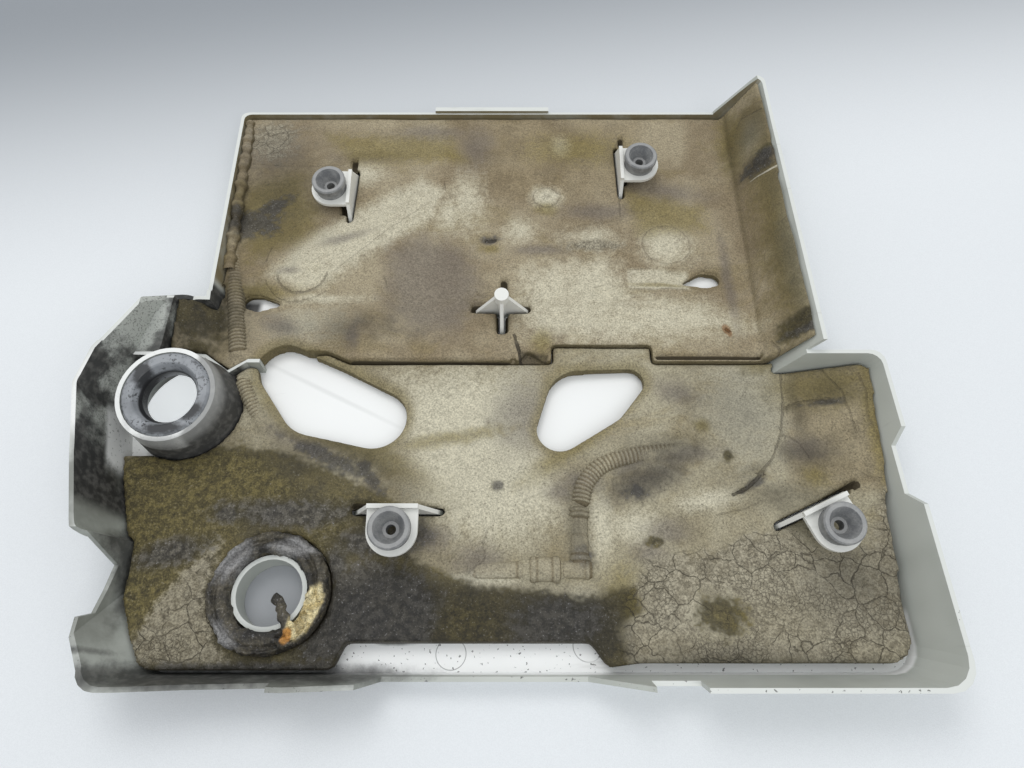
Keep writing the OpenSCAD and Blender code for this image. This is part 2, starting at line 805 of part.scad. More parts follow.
module socket() {
  r = socket_d / 2;
  seat = -socket_h;
  under = seat - shelf_t - neck_gap;
  rotate_extrude()
    polygon([[bore_d / 2, -cup_depth], [cup_foot_d / 2, -cup_depth], [cup_d / 2, 0], [r - 1, 0],
      [r, -1], [r, -4.5], [r - 1.2, -5], [r - 1.2, seat], [neck_d / 2, seat], [neck_d / 2, under],
      [neck_d / 2 + 2.4, under], [neck_d / 2 + 2.4, under - 1], [neck_d / 2 + 0.8, under - 3],
      [bore_d / 2, under - 3]]);
}
module socket_rear_left() {
  color("#55585c")
    at_rear_left() socket();
}
module socket_rear_right() {
  color("#55585c")
    at_rear_right() socket();
}
module socket_front_left() {
  color("#55585c")
    at_front_left() socket();
}
module socket_front_right() {
  color("#55585c")
    at_front_right() socket();
}

module filler_seal_ring() {
  r = seal_d / 2;
  b = seal_bore_d / 2;
  color("#3a3f46")
    at_seal()
      rotate_extrude($fn = 96)
        polygon([[b, -seal_h + 2], [seal_mouth_d / 2, -1], [seal_mouth_d / 2 + 1, 0], [r - 2, 0],
          [r, -2], [r, -seal_h], [b + 2.5, -seal_h], [b + 2.5, -seal_h - wall - neck_gap],
          [b + 4.5, -seal_h - wall - neck_gap], [b + 4, -seal_h - wall - 2.5],
          [b, -seal_h - wall - 2.5]]);
}

cover_shell();
front_foam_pad();
rear_foam_pad();
foam_collar();
socket_rear_left();
socket_rear_right();
socket_front_left();
socket_front_right();
filler_seal_ring();
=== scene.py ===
# %% [markdown]
# # Engine cover, seen from its inner side
# The real object is a moulded plastic tray that lies on its outer face. Two foam pads line it, four
# rubber sockets stand on brackets, a rubber ring sits in a filler bay, and a torn foam collar goes round
# an open hole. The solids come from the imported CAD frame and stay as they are. This lesson gives them
# their finish, and makes the foam again as soft, worn meshes, because foam is where a plain solid looks
# wrong first.
# %% Load the frame
import math
import bpy
import numpy as np
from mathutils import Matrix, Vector, noise


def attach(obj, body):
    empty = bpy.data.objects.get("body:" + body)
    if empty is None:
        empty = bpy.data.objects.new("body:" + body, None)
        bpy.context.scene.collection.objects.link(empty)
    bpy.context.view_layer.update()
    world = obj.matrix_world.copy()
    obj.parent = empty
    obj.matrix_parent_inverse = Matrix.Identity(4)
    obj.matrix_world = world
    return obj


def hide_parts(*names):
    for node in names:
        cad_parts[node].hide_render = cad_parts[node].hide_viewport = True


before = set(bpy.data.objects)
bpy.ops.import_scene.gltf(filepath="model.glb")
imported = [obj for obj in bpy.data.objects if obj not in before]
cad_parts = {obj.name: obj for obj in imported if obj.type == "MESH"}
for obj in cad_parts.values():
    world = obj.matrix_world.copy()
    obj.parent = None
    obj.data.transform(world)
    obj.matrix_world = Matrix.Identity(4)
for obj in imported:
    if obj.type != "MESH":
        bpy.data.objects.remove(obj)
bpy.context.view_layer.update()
print("nodes", sorted(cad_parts))

# %% [markdown]
# ## The camera comes first
# The picture was taken from in front of the cover, looking steeply down. A camera in Blender looks along
# its own -Z, so turning it up by 28 degrees from straight down gives a view 62 degrees below the horizon.
# %% Camera at the picture's viewing angle
lens = bpy.data.cameras.new("picture_camera")
lens.sensor_width = 36.0
lens.lens = 24.26
camera = bpy.data.objects.new("picture_camera", lens)
camera.location = (0.015, -0.285, 0.477)
camera.rotation_euler = (math.radians(28), 0, 0)
bpy.context.scene.collection.objects.link(camera)
bpy.context.scene.camera = camera
print("camera at", tuple(camera.location))

# %% [markdown]
# ## Shader maths as plain expressions
# A material is a graph of nodes, which is slow to write one link at a time. Here one small class wraps a
# socket. Adding, taking away and multiplying wrapped sockets adds the Math nodes, so a mask can be
# written as `1 - grime * 0.5`. Everything else comes from one method that takes the node's type, its
# settings and what goes into its sockets.
# %% A socket that can be added and multiplied
class Sock:
    tree = None

    def __init__(self, socket):
        self.socket = socket

    @classmethod
    def node(cls, kind, settings=None, feeds=None, out=0):
        """Adds a node: settings first, then values or links for its sockets, then one output wrapped."""
        new = cls.tree.nodes.new("ShaderNode" + kind)
        for key, value in (settings or {}).items():
            setattr(new, key, value)
        for key, value in (feeds or {}).items():
            cls.feed(new.inputs[key], value)
        return cls(new.outputs[out])

    @classmethod
    def feed(cls, socket, value):
        if isinstance(value, Sock):
            cls.tree.links.new(value.socket, socket)
        elif socket.type == "RGBA" and len(value) == 3:
            socket.default_value = (*value, 1.0)
        else:
            socket.default_value = value

    def maths(self, operation, other=None, flip=False):
        a, b = (other, self) if flip else (self, other)
        return Sock.node("Math", {"operation": operation}, {0: a} if b is None else {0: a, 1: b})

    def __add__(self, other):
        return self.maths("ADD", other)

    def __radd__(self, other):
        return self.maths("ADD", other, True)

    def __sub__(self, other):
        return self.maths("SUBTRACT", other)

    def __rsub__(self, other):
        return self.maths("SUBTRACT", other, True)

    def __mul__(self, other):
        return self.maths("MULTIPLY", other)

    def __rmul__(self, other):
        return self.maths("MULTIPLY", other, True)

    def most(self, other):
        return self.maths("MAXIMUM", other)

    def between(self, low, high):
        """0 under low, 1 over high, smooth in between. low may be over high, which turns it round."""
        return Sock.node("MapRange", {"interpolation_type": "SMOOTHSTEP", "clamp": True},
                         {"Value": self, "From Min": low, "From Max": high})


print("socket class ready")

# %% [markdown]
# ## Small helpers for surfaces
# Each piece was made in the shared frame, so its object coordinates are the real place in metres. That
# is handy: a stain can be put where it is on the real cover, and it stays there from every side.
# %% Places and noises
def place():
    return Sock.node("TexCoord", out="Object")


def axis(name, of=None):
    return Sock.node("SeparateXYZ", feeds={"Vector": of or place()}, out=name)


def facing_up():
    return axis("Z", Sock.node("NewGeometry", out="Normal"))


def grain(scale, detail=3.0, rough=0.55, warp=0.0, at=None):
    """Cloud noise from 0 to 1, with scale in lumps per metre."""
    return Sock.node("TexNoise", {"noise_dimensions": "3D"},
                     {"Vector": at or place(), "Scale": scale, "Detail": detail, "Roughness": rough,
                      "Distortion": warp}, out="Fac")


def stretched(turn, ratio):
    """The place, turned and stretched, for streaks that run one way."""
    return Sock.node("Mapping", {"vector_type": "POINT"},
                     {"Vector": place(), "Rotation": (0, 0, math.radians(-turn)),
                      "Scale": (1.0, ratio, 1.0)})


def wobble(scale, amount):
    """The place, pushed about by noise, so that lines drawn with it are not straight."""
    cloud = Sock.node("TexNoise", {"noise_dimensions": "3D"},
                      {"Vector": place(), "Scale": scale, "Detail": 3.0}, out="Color")
    shift = Sock.node("VectorMath", {"operation": "SCALE"}, {0: cloud, "Scale": amount})
    return Sock.node("VectorMath", {"operation": "ADD"}, {0: place(), 1: shift})


def cells(scale, width, at):
    """Thin lines between cells, 1 on the line: the look of a dried, crackled skin."""
    return Sock.node("TexVoronoi", {"feature": "DISTANCE_TO_EDGE"},
                     {"Vector": at, "Scale": scale}).between(width, 0.0)


# %% Stains, blends and bumps
def far_from(x, y, rx, ry, turn=0.0):
    """Distance from a place in millimetres, 1 on the edge of an ellipse round it."""
    local = Sock.node("Mapping", {"vector_type": "TEXTURE"},
                      {"Vector": place(), "Location": (x / 1e3, y / 1e3, 0),
                       "Rotation": (0, 0, math.radians(turn)), "Scale": (rx / 1e3, ry / 1e3, 1e3)})
    return Sock.node("VectorMath", {"operation": "LENGTH"}, {0: local}, out="Value")


def stains(fray, *spots, soft=0.5, ragged=0.8):
    """1 inside ellipses whose edges are soft and pushed about by the noise in fray."""
    total = None
    for spot in spots:
        one = (far_from(*spot) + (fray - 0.5) * ragged).between(1 + soft / 2, 1 - soft / 2)
        total = one if total is None else total.most(one)
    return total


def blend(amount, a, b):
    """Colour a where amount is 0, colour b where it is 1."""
    return Sock.node("Mix", {"data_type": "RGBA", "clamp_factor": True}, {0: amount, 6: a, 7: b}, out=2)


def bump(height, strength, distance):
    return Sock.node("Bump", feeds={"Height": height, "Strength": strength, "Distance": distance})


def material(name):
    made = bpy.data.materials.new(name)
    made.use_nodes = True
    Sock.tree = made.node_tree
    return made


def dress(made, **feeds):
    for key, value in feeds.items():
        Sock.feed(made.node_tree.nodes["Principled BSDF"].inputs[key.replace("_", " ")], value)


def wear(piece, made):
    piece.data.materials.clear()
    piece.data.materials.append(made)


print("surface helpers ready")

# %% [markdown]
# ## The moulded plastic
# The tray is pale grey plastic. It is nearly white where foam kept it clean, grey green on the walls,
# and black with old oil in the filler bay and down the right side of the filler collar. The dirt is a
# few stains with ragged edges, laid where they are on the real cover. Some strips of floor and the lower
# side of the collar are painted lighter as painted light, the top of the rim is lighter from clean
# plastic and a painted highlight, and a fold in the floor gets a line of painted shade.
# %% Shell plastic with its dirt
FILLER = (-227.0, -65.0)
HOLE = (-143.0, -194.0)


def shell_plastic():
    made = material("shell_plastic")
    x, y, z = axis("X"), axis("Y"), axis("Z")
    flat = facing_up().between(0.6, 0.95)
    clouds, tooth, fray = grain(9.0, 3.0), grain(900.0, 2.0), grain(60.0, 5.0, 0.68)
    film = grain(24.0, 4.0, 0.65)
    wall_tone = blend(clouds.between(0.35, 0.65), (0.35, 0.37, 0.335), (0.50, 0.52, 0.48))
    body = blend(z.between(0.012, 0.006) * flat, wall_tone, (0.86, 0.87, 0.86))
    # painted light: a strip of bare floor by the front wall, and the low floor in the rear half, are painted
    # brighter where the pads and walls shade them
    brightened_floor = z.between(0.011, 0.008) * y.between(-0.200, -0.208) * x.between(-0.13, -0.09)
    body = blend(brightened_floor.most(z.between(0.008, 0.006) * y.between(-0.02, -0.01) * flat), body,
                 (0.93, 0.94, 0.93))
    # the upward faces of the rim are lighter: clean plastic, and partly a painted highlight
    rim = facing_up().between(0.93, 0.985) * z.between(0.013, 0.019)
    body = blend(rim * 0.85, body, (0.70, 0.72, 0.69))
    body = blend(stains(fray, (-141, 143, 42, 40), (127, 171, 42, 40), (-64, -150, 42, 42),
                        (226, -146, 42, 46), (7, 24, 30, 30), soft=0.02, ragged=0.0)
                 * z.between(0.010, 0.014), body, (0.74, 0.74, 0.70))
    # grey film on the low left and front walls
    grey = stains(fray, (-276, -200, 44, 60), (-180, -252, 110, 12), (-262, -130, 12, 60), soft=0.9)
    body = blend(grey * film.between(0.10, 0.55) * 0.85, body, (0.175, 0.182, 0.160))
    bare = stains(fray, (-265, -80, 14, 32), soft=0.5) * z.between(0.034, 0.028)
    body = blend(bare, body, (0.86, 0.87, 0.85))
    turned = (axis("X", Sock.node("NewGeometry", out="Normal")),
              axis("Y", Sock.node("NewGeometry", out="Normal")))
    behind = (turned[1].between(-0.3, -0.6) * y.between(0.215, 0.225)).most(
        turned[0].between(0.3, 0.6) * x.between(-0.205, -0.210) * y.between(0.04, 0.05))
    body = blend(behind * (0.55 + film.between(0.3, 0.6) * 0.4), body, (0.175, 0.140, 0.070))
    # old oil in the bay, on the outside of the filler collar but not down its throat
    out_from = Sock.node("VectorMath", {"operation": "SUBTRACT"}, {0: place(), 1: (-0.227, -0.0615, 0.03)})
    outside = Sock.node("VectorMath", {"operation": "DOT_PRODUCT"},
                        {0: out_from, 1: Sock.node("NewGeometry", out="Normal")},
                        out="Value").between(-0.010, 0.002)
    ring_far = far_from(FILLER[0], FILLER[1] + 1.5, 1, 1)
    bay = x.between(-0.188, -0.194) * y.between(-0.150, -0.138) * y.between(0.045, 0.038) \
        * (1 - ring_far.between(46.0, 38.0) * (1 - outside)) * (1 - rim * 0.9)
    specks = grain(700.0, 2.0).between(0.54, 0.62)
    worn = stains(fray, (-268, -62, 9, 34, 3), (-258, 0, 13, 24, -32), (-237, -96, 24, 13),
                  (-257, -70, 14, 22), (-284, -88, 8, 19), soft=0.5, ragged=1.5) * (1 - specks * 0.5)
    grime = bay * (1 - worn.most(bare) * 0.82) * (film + (fray - 0.5) * 0.5).between(0.92, 0.58)
    lip = ring_far.between(37.5, 34.5) * z.between(0.028, 0.040)
    # painted light: the lower outer side of the filler collar is painted pale against the shade at its foot,
    # and grime is kept off it except on the right side
    painted_lit_low_side = ring_far.between(62.0, 56.0) * outside * z.between(0.001, 0.003)
    right_side = x.between(-0.215, -0.200) + y.between(-0.085, -0.100) * 0.6 + z.between(0.030, 0.020) * 0.8
    cone = ring_far.between(60.0, 54.0) * outside * z.between(0.004, 0.007)
    grime = (grime * (1 - lip * 0.6)).most(cone * right_side.between(0.1, 0.7) * fray.between(0.10, 0.32)
                                            * (1 - lip * 0.35))
    grime = grime * (1 - painted_lit_low_side * (1 - right_side.between(0.1, 0.7)) * (1 - specks * 0.7))
    body = blend(painted_lit_low_side, body, (0.80, 0.81, 0.79))
    spray = grain(420.0, 2.0).between(0.58, 0.70) * film.between(0.36, 0.56) * bay
    # oil that ran out of the front left of the foam, and black crumbs on the bare floor
    oil = stains(fray, (-190, -246, 60, 9), (-110, -243, 60, 7), (-262, -232, 26, 2.5),
                 (-60, -222, 12, 2.5), (-244, -150, 5, 50, 6), soft=1.0, ragged=1.4)
    crumbs = grain(430.0, 2.0).between(0.665, 0.70) * y.between(-0.205, -0.215) * flat
    circles = stains(fray, (-24.3, -229.9, 10, 10), (64.2, -225.1, 10, 10), soft=0.02, ragged=0.0) \
        - stains(fray, (-24.3, -229.9, 9.4, 9.4), (64.2, -225.1, 9.4, 9.4), soft=0.02, ragged=0.0)
    circles = circles * film.between(0.40, 0.55) * z.between(0.008, 0.005)
    dirt = (grime * 0.96).most(spray * 0.75).most(oil * 0.8).most(crumbs * 0.8).most(circles * 0.55)
    body = blend(dirt, body, blend(grain(200.0, 3.0).between(0.4, 0.7), (0.014, 0.014, 0.014),
                                   (0.075, 0.073, 0.068)))
    scuffs = grain(5.0, 5.0, 0.75, at=stretched(12, 9.0)).between(0.60, 0.68)
    body = blend(scuffs * 0.18, body, (0.25, 0.25, 0.23))
    # a faint fold in the floor: a bump, with painted shade along its line
    fold = stains(fray, (-128, -40, 60, 1.6, -27), soft=1.6, ragged=0.05)
    body = blend(fold * 0.25, body, (0.45, 0.46, 0.45))
    height = tooth * 0.35 + grain(60.0, 3.0) * 0.5 + dirt * 0.5 - scuffs * 0.15 + fold * 1.2
    dress(made, Base_Color=body, Roughness=0.44 + dirt * 0.14 - spray * 0.12,
          Normal=bump(height, 0.25, 0.0006))
    return made


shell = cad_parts["cover_shell"]
wear(shell, shell_plastic())
print("shell", len(shell.data.polygons), "faces")

# %% [markdown]
# ## Rubber
# The sockets are dull dark rubber with a dusty bloom, and their upper faces are painted paler. The seal
# ring is smoother and blue grey, with oily specks that darken it in spots.
# %% Rubber for the sockets and the seal
def socket_rubber():
    made = material("socket_rubber")
    dust = (grain(120.0, 4.0, 0.65) * 0.7 + grain(900.0, 2.0) * 0.3).between(0.38, 0.64)
    body = blend(dust * 0.7, (0.155, 0.160, 0.165), (0.330, 0.330, 0.320))
    # upper faces painted paler
    body = blend(facing_up().between(0.55, 0.95) * 0.40, body, (0.40, 0.40, 0.39))
    dress(made, Base_Color=body, Roughness=0.52 + dust * 0.22,
          Normal=bump(grain(1500.0, 2.0) + dust * 0.4, 0.25, 0.0004))
    return made


def seal_rubber():
    made = material("seal_rubber")
    fray = grain(150.0, 4.0, 0.65)
    specks = grain(480.0, 3.0, 0.6).between(0.55, 0.63) * grain(45.0, 3.0).between(0.40, 0.58)
    smear = grain(60.0, 4.0, 0.6).between(0.40, 0.66)
    body = blend(smear * 0.6, (0.290, 0.304, 0.322), (0.150, 0.158, 0.172))
    # the small black step round the mouth
    reach = far_from(*FILLER, 1, 1)
    body = blend(reach.between(20.9, 19.9), body, (0.020, 0.020, 0.022))
    blots = stains(fray, (-224, -90, 14, 4, 4), (-206, -78, 8, 4, 40), (-246, -50, 6, 10), soft=0.8,
                   ragged=1.4)
    oily = specks.most(blots)
    body = blend(oily * 0.9, body, (0.016, 0.016, 0.017))
    dress(made, Base_Color=body, Roughness=0.40 - oily * 0.12,
          Normal=bump(oily * 0.8 + grain(900.0, 2.0) * 0.2, 0.4, 0.0005))
    return made


rubber = socket_rubber()
for name in ("socket_rear_left", "socket_rear_right", "socket_front_left", "socket_front_right"):
    wear(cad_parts[name], rubber)
wear(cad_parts["filler_seal_ring"], seal_rubber())
print("rubber on five pieces")

# %% [markdown]
# ## The pads as soft meshes
# A foam pad has edges rounded by its mould and a skin that is never quite flat. The CAD node gives the
# outline, so the mesh is copied from it and rebuilt from small cubes, which is what a voxel remesh does.
# A few rounds of smoothing take the steps of the cubes away. That gives vertices all over the top, which
# can then be pushed up and down by a function of the place: rings, troughs, prints and dents.
# %% Rebuild a piece of foam from voxels
def remeshed(node, name, voxel, rounds):
    piece = bpy.data.objects.new(name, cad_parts[node].data.copy())
    bpy.context.scene.collection.objects.link(piece)
    change = piece.modifiers.new("remesh", "REMESH")
    change.mode = "VOXEL"
    change.voxel_size = voxel
    change.use_smooth_shade = True
    relax = piece.modifiers.new("relax", "SMOOTH")
    relax.factor = 0.5
    relax.iterations = rounds
    graph = bpy.context.evaluated_depsgraph_get()
    done = bpy.data.meshes.new_from_object(piece.evaluated_get(graph))
    piece.modifiers.clear()
    piece.data = done
    done.name = name
    print(name, len(done.polygons), "faces")
    return piece


def corners(piece):
    co = np.empty(len(piece.data.vertices) * 3)
    piece.data.vertices.foreach_get("co", co)
    return co.reshape(-1, 3)


def set_corners(piece, co):
    piece.data.vertices.foreach_set("co", co.reshape(-1))
    piece.data.update()


# %% [markdown]
# ### Shapes over the plan
# Prints in the skin and stains on it are both functions of the place in millimetres. A few small ones are
# enough: a smooth disc, a ring, a ridge along a line, a box, an ellipse, and a patch with corners.
# %% Functions of the place
def smooth(t):
    t = np.clip(t, 0.0, 1.0)
    return t * t * (3 - 2 * t)


def disc(p, x, y, r, edge):
    return smooth((r + edge / 2 - np.hypot(p[:, 0] - x, p[:, 1] - y)) / edge)


def ring(p, x, y, r, half, a0=-360.0, a1=360.0):
    d = np.abs(np.hypot(p[:, 0] - x, p[:, 1] - y) - r)
    a = np.degrees(np.arctan2(p[:, 1] - y, p[:, 0] - x))
    return smooth(1 - d / half) * smooth((a - a0) / 6) * smooth((a1 - a) / 6)


def along(p, a, b):
    """Distance to the line from a to b, and how far along it the nearest place is."""
    a, b = np.array(a, float), np.array(b, float)
    t = np.clip(((p[:, :2] - a) @ (b - a)) / ((b - a) @ (b - a)), 0, 1)
    return np.hypot(*(p[:, :2] - a - t[:, None] * (b - a)).T), t


def path_gap(p, points):
    return np.min([along(p, a, b)[0] for a, b in zip(points, points[1:])], axis=0)


def ridge(p, points, half):
    return smooth(1 - path_gap(p, points) / half)


def box_print(p, x0, y0, x1, y1, edge):
    d = np.maximum.reduce([x0 - p[:, 0], p[:, 0] - x1, y0 - p[:, 1], p[:, 1] - y1])
    return smooth(0.5 - d / edge)


def waves(p, size, seed):
    return np.array([noise.fractal(Vector((q[0] / size, q[1] / size, seed)), 1.0, 2.0, 3)
                     for q in p[:, :2]])


# %% Functions for stains: a half on the edge, 1 well inside, 0 well outside
def spots(p, *ellipses):
    total = np.zeros(len(p))
    for x, y, rx, ry, *turn in ellipses:
        a = math.radians(turn[0]) if turn else 0.0
        dx, dy = p[:, 0] - x, p[:, 1] - y
        far = np.hypot((dx * math.cos(a) + dy * math.sin(a)) / rx,
                       (dy * math.cos(a) - dx * math.sin(a)) / ry)
        total = np.maximum(total, 1 - 0.5 * far)
    return total


def join(*masks):
    """The strongest of several masks at each place."""
    return np.max(masks, axis=0)


def patch(p, points, soft):
    """A patch with corners. soft is how far in millimetres its edge fades on each side."""
    ring_of = points + points[:1]
    gap = path_gap(p, ring_of)
    inside = np.zeros(len(p), bool)
    for (x0, y0), (x1, y1) in zip(ring_of, ring_of[1:]):
        cut = (y0 > p[:, 1]) != (y1 > p[:, 1])
        inside ^= cut & (p[:, 0] < (x1 - x0) * (p[:, 1] - y0) / (y1 - y0 + 1e-9) + x0)
    return np.clip(0.5 + np.where(inside, gap, -gap) / (2 * soft), 0, 1)


def cut_by(p, lines, edge):
    """1 inside wide lines, each given by its two ends and half its width."""
    return np.max([smooth(0.5 + (line[4] - along(p, line[:2], line[2:4])[0]) / edge) for line in lines],
                  axis=0)


def window_gap(p):
    """Distance in millimetres to the edge of the nearest window in the pads."""
    gaps = []
    for (cx, cy, turn), blobs in (((-124, -46, -29.3), ((-42, 0, 19.8), (-3, -7, 30), (42, 0, 24))),
                                  ((77, -56, 36.5), ((-33.5, 0, 16.9), (-6, 9, 26), (33.5, 0, 12)))):
        c, s = math.cos(math.radians(turn)), math.sin(math.radians(turn))
        at = [(cx + c * u - s * v, cy + s * u + c * v, r) for u, v, r in blobs]
        for i, a in enumerate(at):
            for b in at[i + 1:]:
                d, t = along(p, a[:2], b[:2])
                gaps.append(d - a[2] - (b[2] - a[2]) * t)
    return np.min(gaps, axis=0)


# %% [markdown]
# ### Relief of the two pads
# These heights are in millimetres over the moulded face. The rear pad has a U-shaped channel, a round
# print, a small disc with a triangle, a T-shaped print and a long shallow pipe print. The front pad has a
# swirl, a curved fold and prints of a connector. The open ends of the slots beside the brackets are only
# pressed in and given painted shade here, because the remesh closes slots this thin.
# %% Relief of the rear pad
SLOT_DEPTH = 7.5
REAR_SLOTS = [(-14, 28, 26, 28, 4.2), (8.3, 32, 8.3, 54.5, 2.8), (7.3, 8, 7.3, 26, 4.4),
              (-128.8, 191, -128.4, 182, 2.7), (-133, 139, -131, 128, 2.3), (-108, -21, 14, -22, 1.7),
              (127, -17, 205, -17.6, 1.7), (116.3, 220, 115.8, 212, 2.5), (117, 174, 115.7, 164, 2.5)]
FRONT_SLOTS = [(-94, -134.8, -80, -136, 2.9), (-53, -136.8, -34.5, -138, 2.5),
               (202, -146, 222.7, -136.6, 2.2), (222.7, -136.6, 255, -119.4, 2.2),
               (253.5, -120, 256, -121.5, 2.0)]


def rear_relief(p):
    h = 0.7 * waves(p, 55.0, 1.3) + 0.14 * waves(p, 9.0, 4.1)
    h += 1.5 * ring(p, -158, 64, 26.5, 5.0, -178, 2) - 1.4 * ring(p, -158, 64, 20.5, 2.6, -172, -4)
    h += 1.3 * ridge(p, [(-184.5, 66), (-187, 84)], 4.5)
    h += (1.3 * ridge(p, [(-170, 36.5), (-140, 36), (-112, 34)], 5)
          - 1.0 * ridge(p, [(-168, 30), (-112, 28)], 3))
    h += 0.7 * ridge(p, [(-132, 64), (-96, 106), (-60, 146)], 13)
    h += (-0.6 * ridge(p, [(-118, 60), (-78, 104), (-40, 136)], 5)
          - 0.6 * ridge(p, [(-134, 92), (-100, 132), (-66, 166)], 5))
    h += -1.0 * disc(p, 145, 92, 19.0, 2.6) + 0.5 * ring(p, 145, 92, 22, 3)
    h += -1.2 * box_print(p, 112, 49, 157, 64, 4)
    h += 0.9 * disc(p, 45, 146, 11.5, 2.6) + 0.9 * disc(p, 45, 148, 3.4, 3)
    h += -0.9 * ridge(p, [(68, 112), (108, 120)], 2.6) - 0.7 * box_print(p, 108, 106, 114, 124, 3)
    h += -1.6 * disc(p, -5, 98, 5, 6) + 0.6 * ring(p, -5, 98, 9, 4)
    h += -0.7 * ridge(p, [(-222, 187), (-177, 184), (-137, 187), (-96, 184)], 5)
    h += -0.8 * ridge(p, [(-21, 232), (-22, 150), (-26, 122)], 4)
    h += 0.7 * ridge(p, [(-226, 60), (-224, 120), (-226, 170)], 7)
    h += -0.7 * ridge(p, [(-13, 19), (-2, 9), (12, 6), (26, 14)], 4)
    h += -0.8 * ridge(p, [(28, -1), (122, -10), (161, -6), (206, 3)], 5) * smooth((p[:, 0] - 20) / 10)
    h += -1.6 * disc(p, 184, 8, 3.5, 5)
    wing = smooth((p[:, 0] - 212) / 6)
    h += wing * (1.1 * waves(p, 26.0, 8.8) - 2.0 * disc(p, 232, 172, 6, 8)
                 - 1.2 * ridge(p, [(222, 222), (231, 215)], 4)
                 - 1.0 * ridge(p, [(228, 232), (233, 222)], 3) - 1.6 * smooth((2 - p[:, 1]) / 14))
    for x, y in ((-187, 35), (171, 58)):
        h += -3.5 * smooth(1.9 - np.hypot((p[:, 0] - x) / 22, (p[:, 1] - y) / 8))
    h += -3.5 * patch(p, [(20.4, -11.5), (42.8, -15.9), (41, -24), (34.9, -26), (21.9, -26)], 1.0)
    return h - 2.0 * smooth(1 - window_gap(p) / 6) - SLOT_DEPTH * cut_by(p, REAR_SLOTS, 1.6)


# %% Relief of the front pad
def front_relief(p):
    h = 0.8 * waves(p, 60.0, 7.7) + 0.2 * waves(p, 8.0, 2.9)
    h += -1.0 * disc(p, 0, -122, 5, 6) - 1.6 * disc(p, 0.5, -121, 2.5, 2)
    # the smooth pipe print with its torn fold, and the branch that curls away from it
    h += (1.5 * ridge(p, [(133, -134), (150, -131), (170, -128)], 8)
          - 1.1 * ridge(p, [(134, -144), (160, -139), (186, -133)], 4))
    h += (-2.6 * ridge(p, [(168, -127.5), (181, -121.5), (192, -112)], 3)
          + 1.8 * ridge(p, [(172, -120), (186, -113)], 6))
    h += 1.2 * ridge(p, [(128, -144), (135, -157), (144, -166), (152, -167), (158, -161)], 5)
    h += -0.8 * ridge(p, [(139, -148), (146, -158), (153, -159)], 4)
    # the raised island in the middle right, with its curved edge
    edge = path_gap(p, [(212, -9), (219, -29), (218, -53), (212, -79), (202, -100), (188, -114)])
    island = patch(p, [(120, -20), (212, -9), (219, -29), (218, -53), (212, -79), (202, -100), (186, -116),
                       (160, -104), (150, -80)], 4.0)
    h += (1.4 * smooth(island) * smooth(1 - edge / 26)
          - 1.5 * ridge(p, [(221, -40), (219, -60), (214, -82), (203, -104)], 4))
    h += (1.2 * ridge(p, [(218, -66), (230, -63), (246, -61), (258, -67)], 6)
          - 1.4 * ridge(p, [(216, -59), (230, -56), (246, -54), (258, -60)], 4))
    h += 0.8 * ring(p, 145, -57, 5, 2.4) - 0.7 * disc(p, 145, -57, 3, 2)
    h += -1.2 * ridge(p, [(86, -130), (96, -116), (112, -106), (140, -103)], 7)
    h += (0.9 * ridge(p, [(192, -220), (208, -217), (219, -226)], 9)
          - 0.9 * ridge(p, [(216, -216), (226, -226), (232, -236)], 5))
    # lumps under the front left bracket, round the collar and in the oily corner
    rough = spots(p, (-72, -168, 34, 10), (-140, -138, 44, 18), (-215, -168, 26, 9), (-178, -128, 16, 10),
                  (-60, -196, 50, 18))
    h += 1.5 * waves(p, 7.0, 5.5) * smooth(rough * 1.6 - 0.4)
    h += -1.0 * ridge(p, [(-158, -82), (-139, -86), (-116, -95), (-97, -105), (-84, -115), (-76, -125)], 7)
    h += 0.7 * ridge(p, [(-222, -186), (-200, -170), (-180, -166)], 8)
    return h - 2.4 * smooth(1 - window_gap(p) / 8) - SLOT_DEPTH * cut_by(p, FRONT_SLOTS, 1.6)
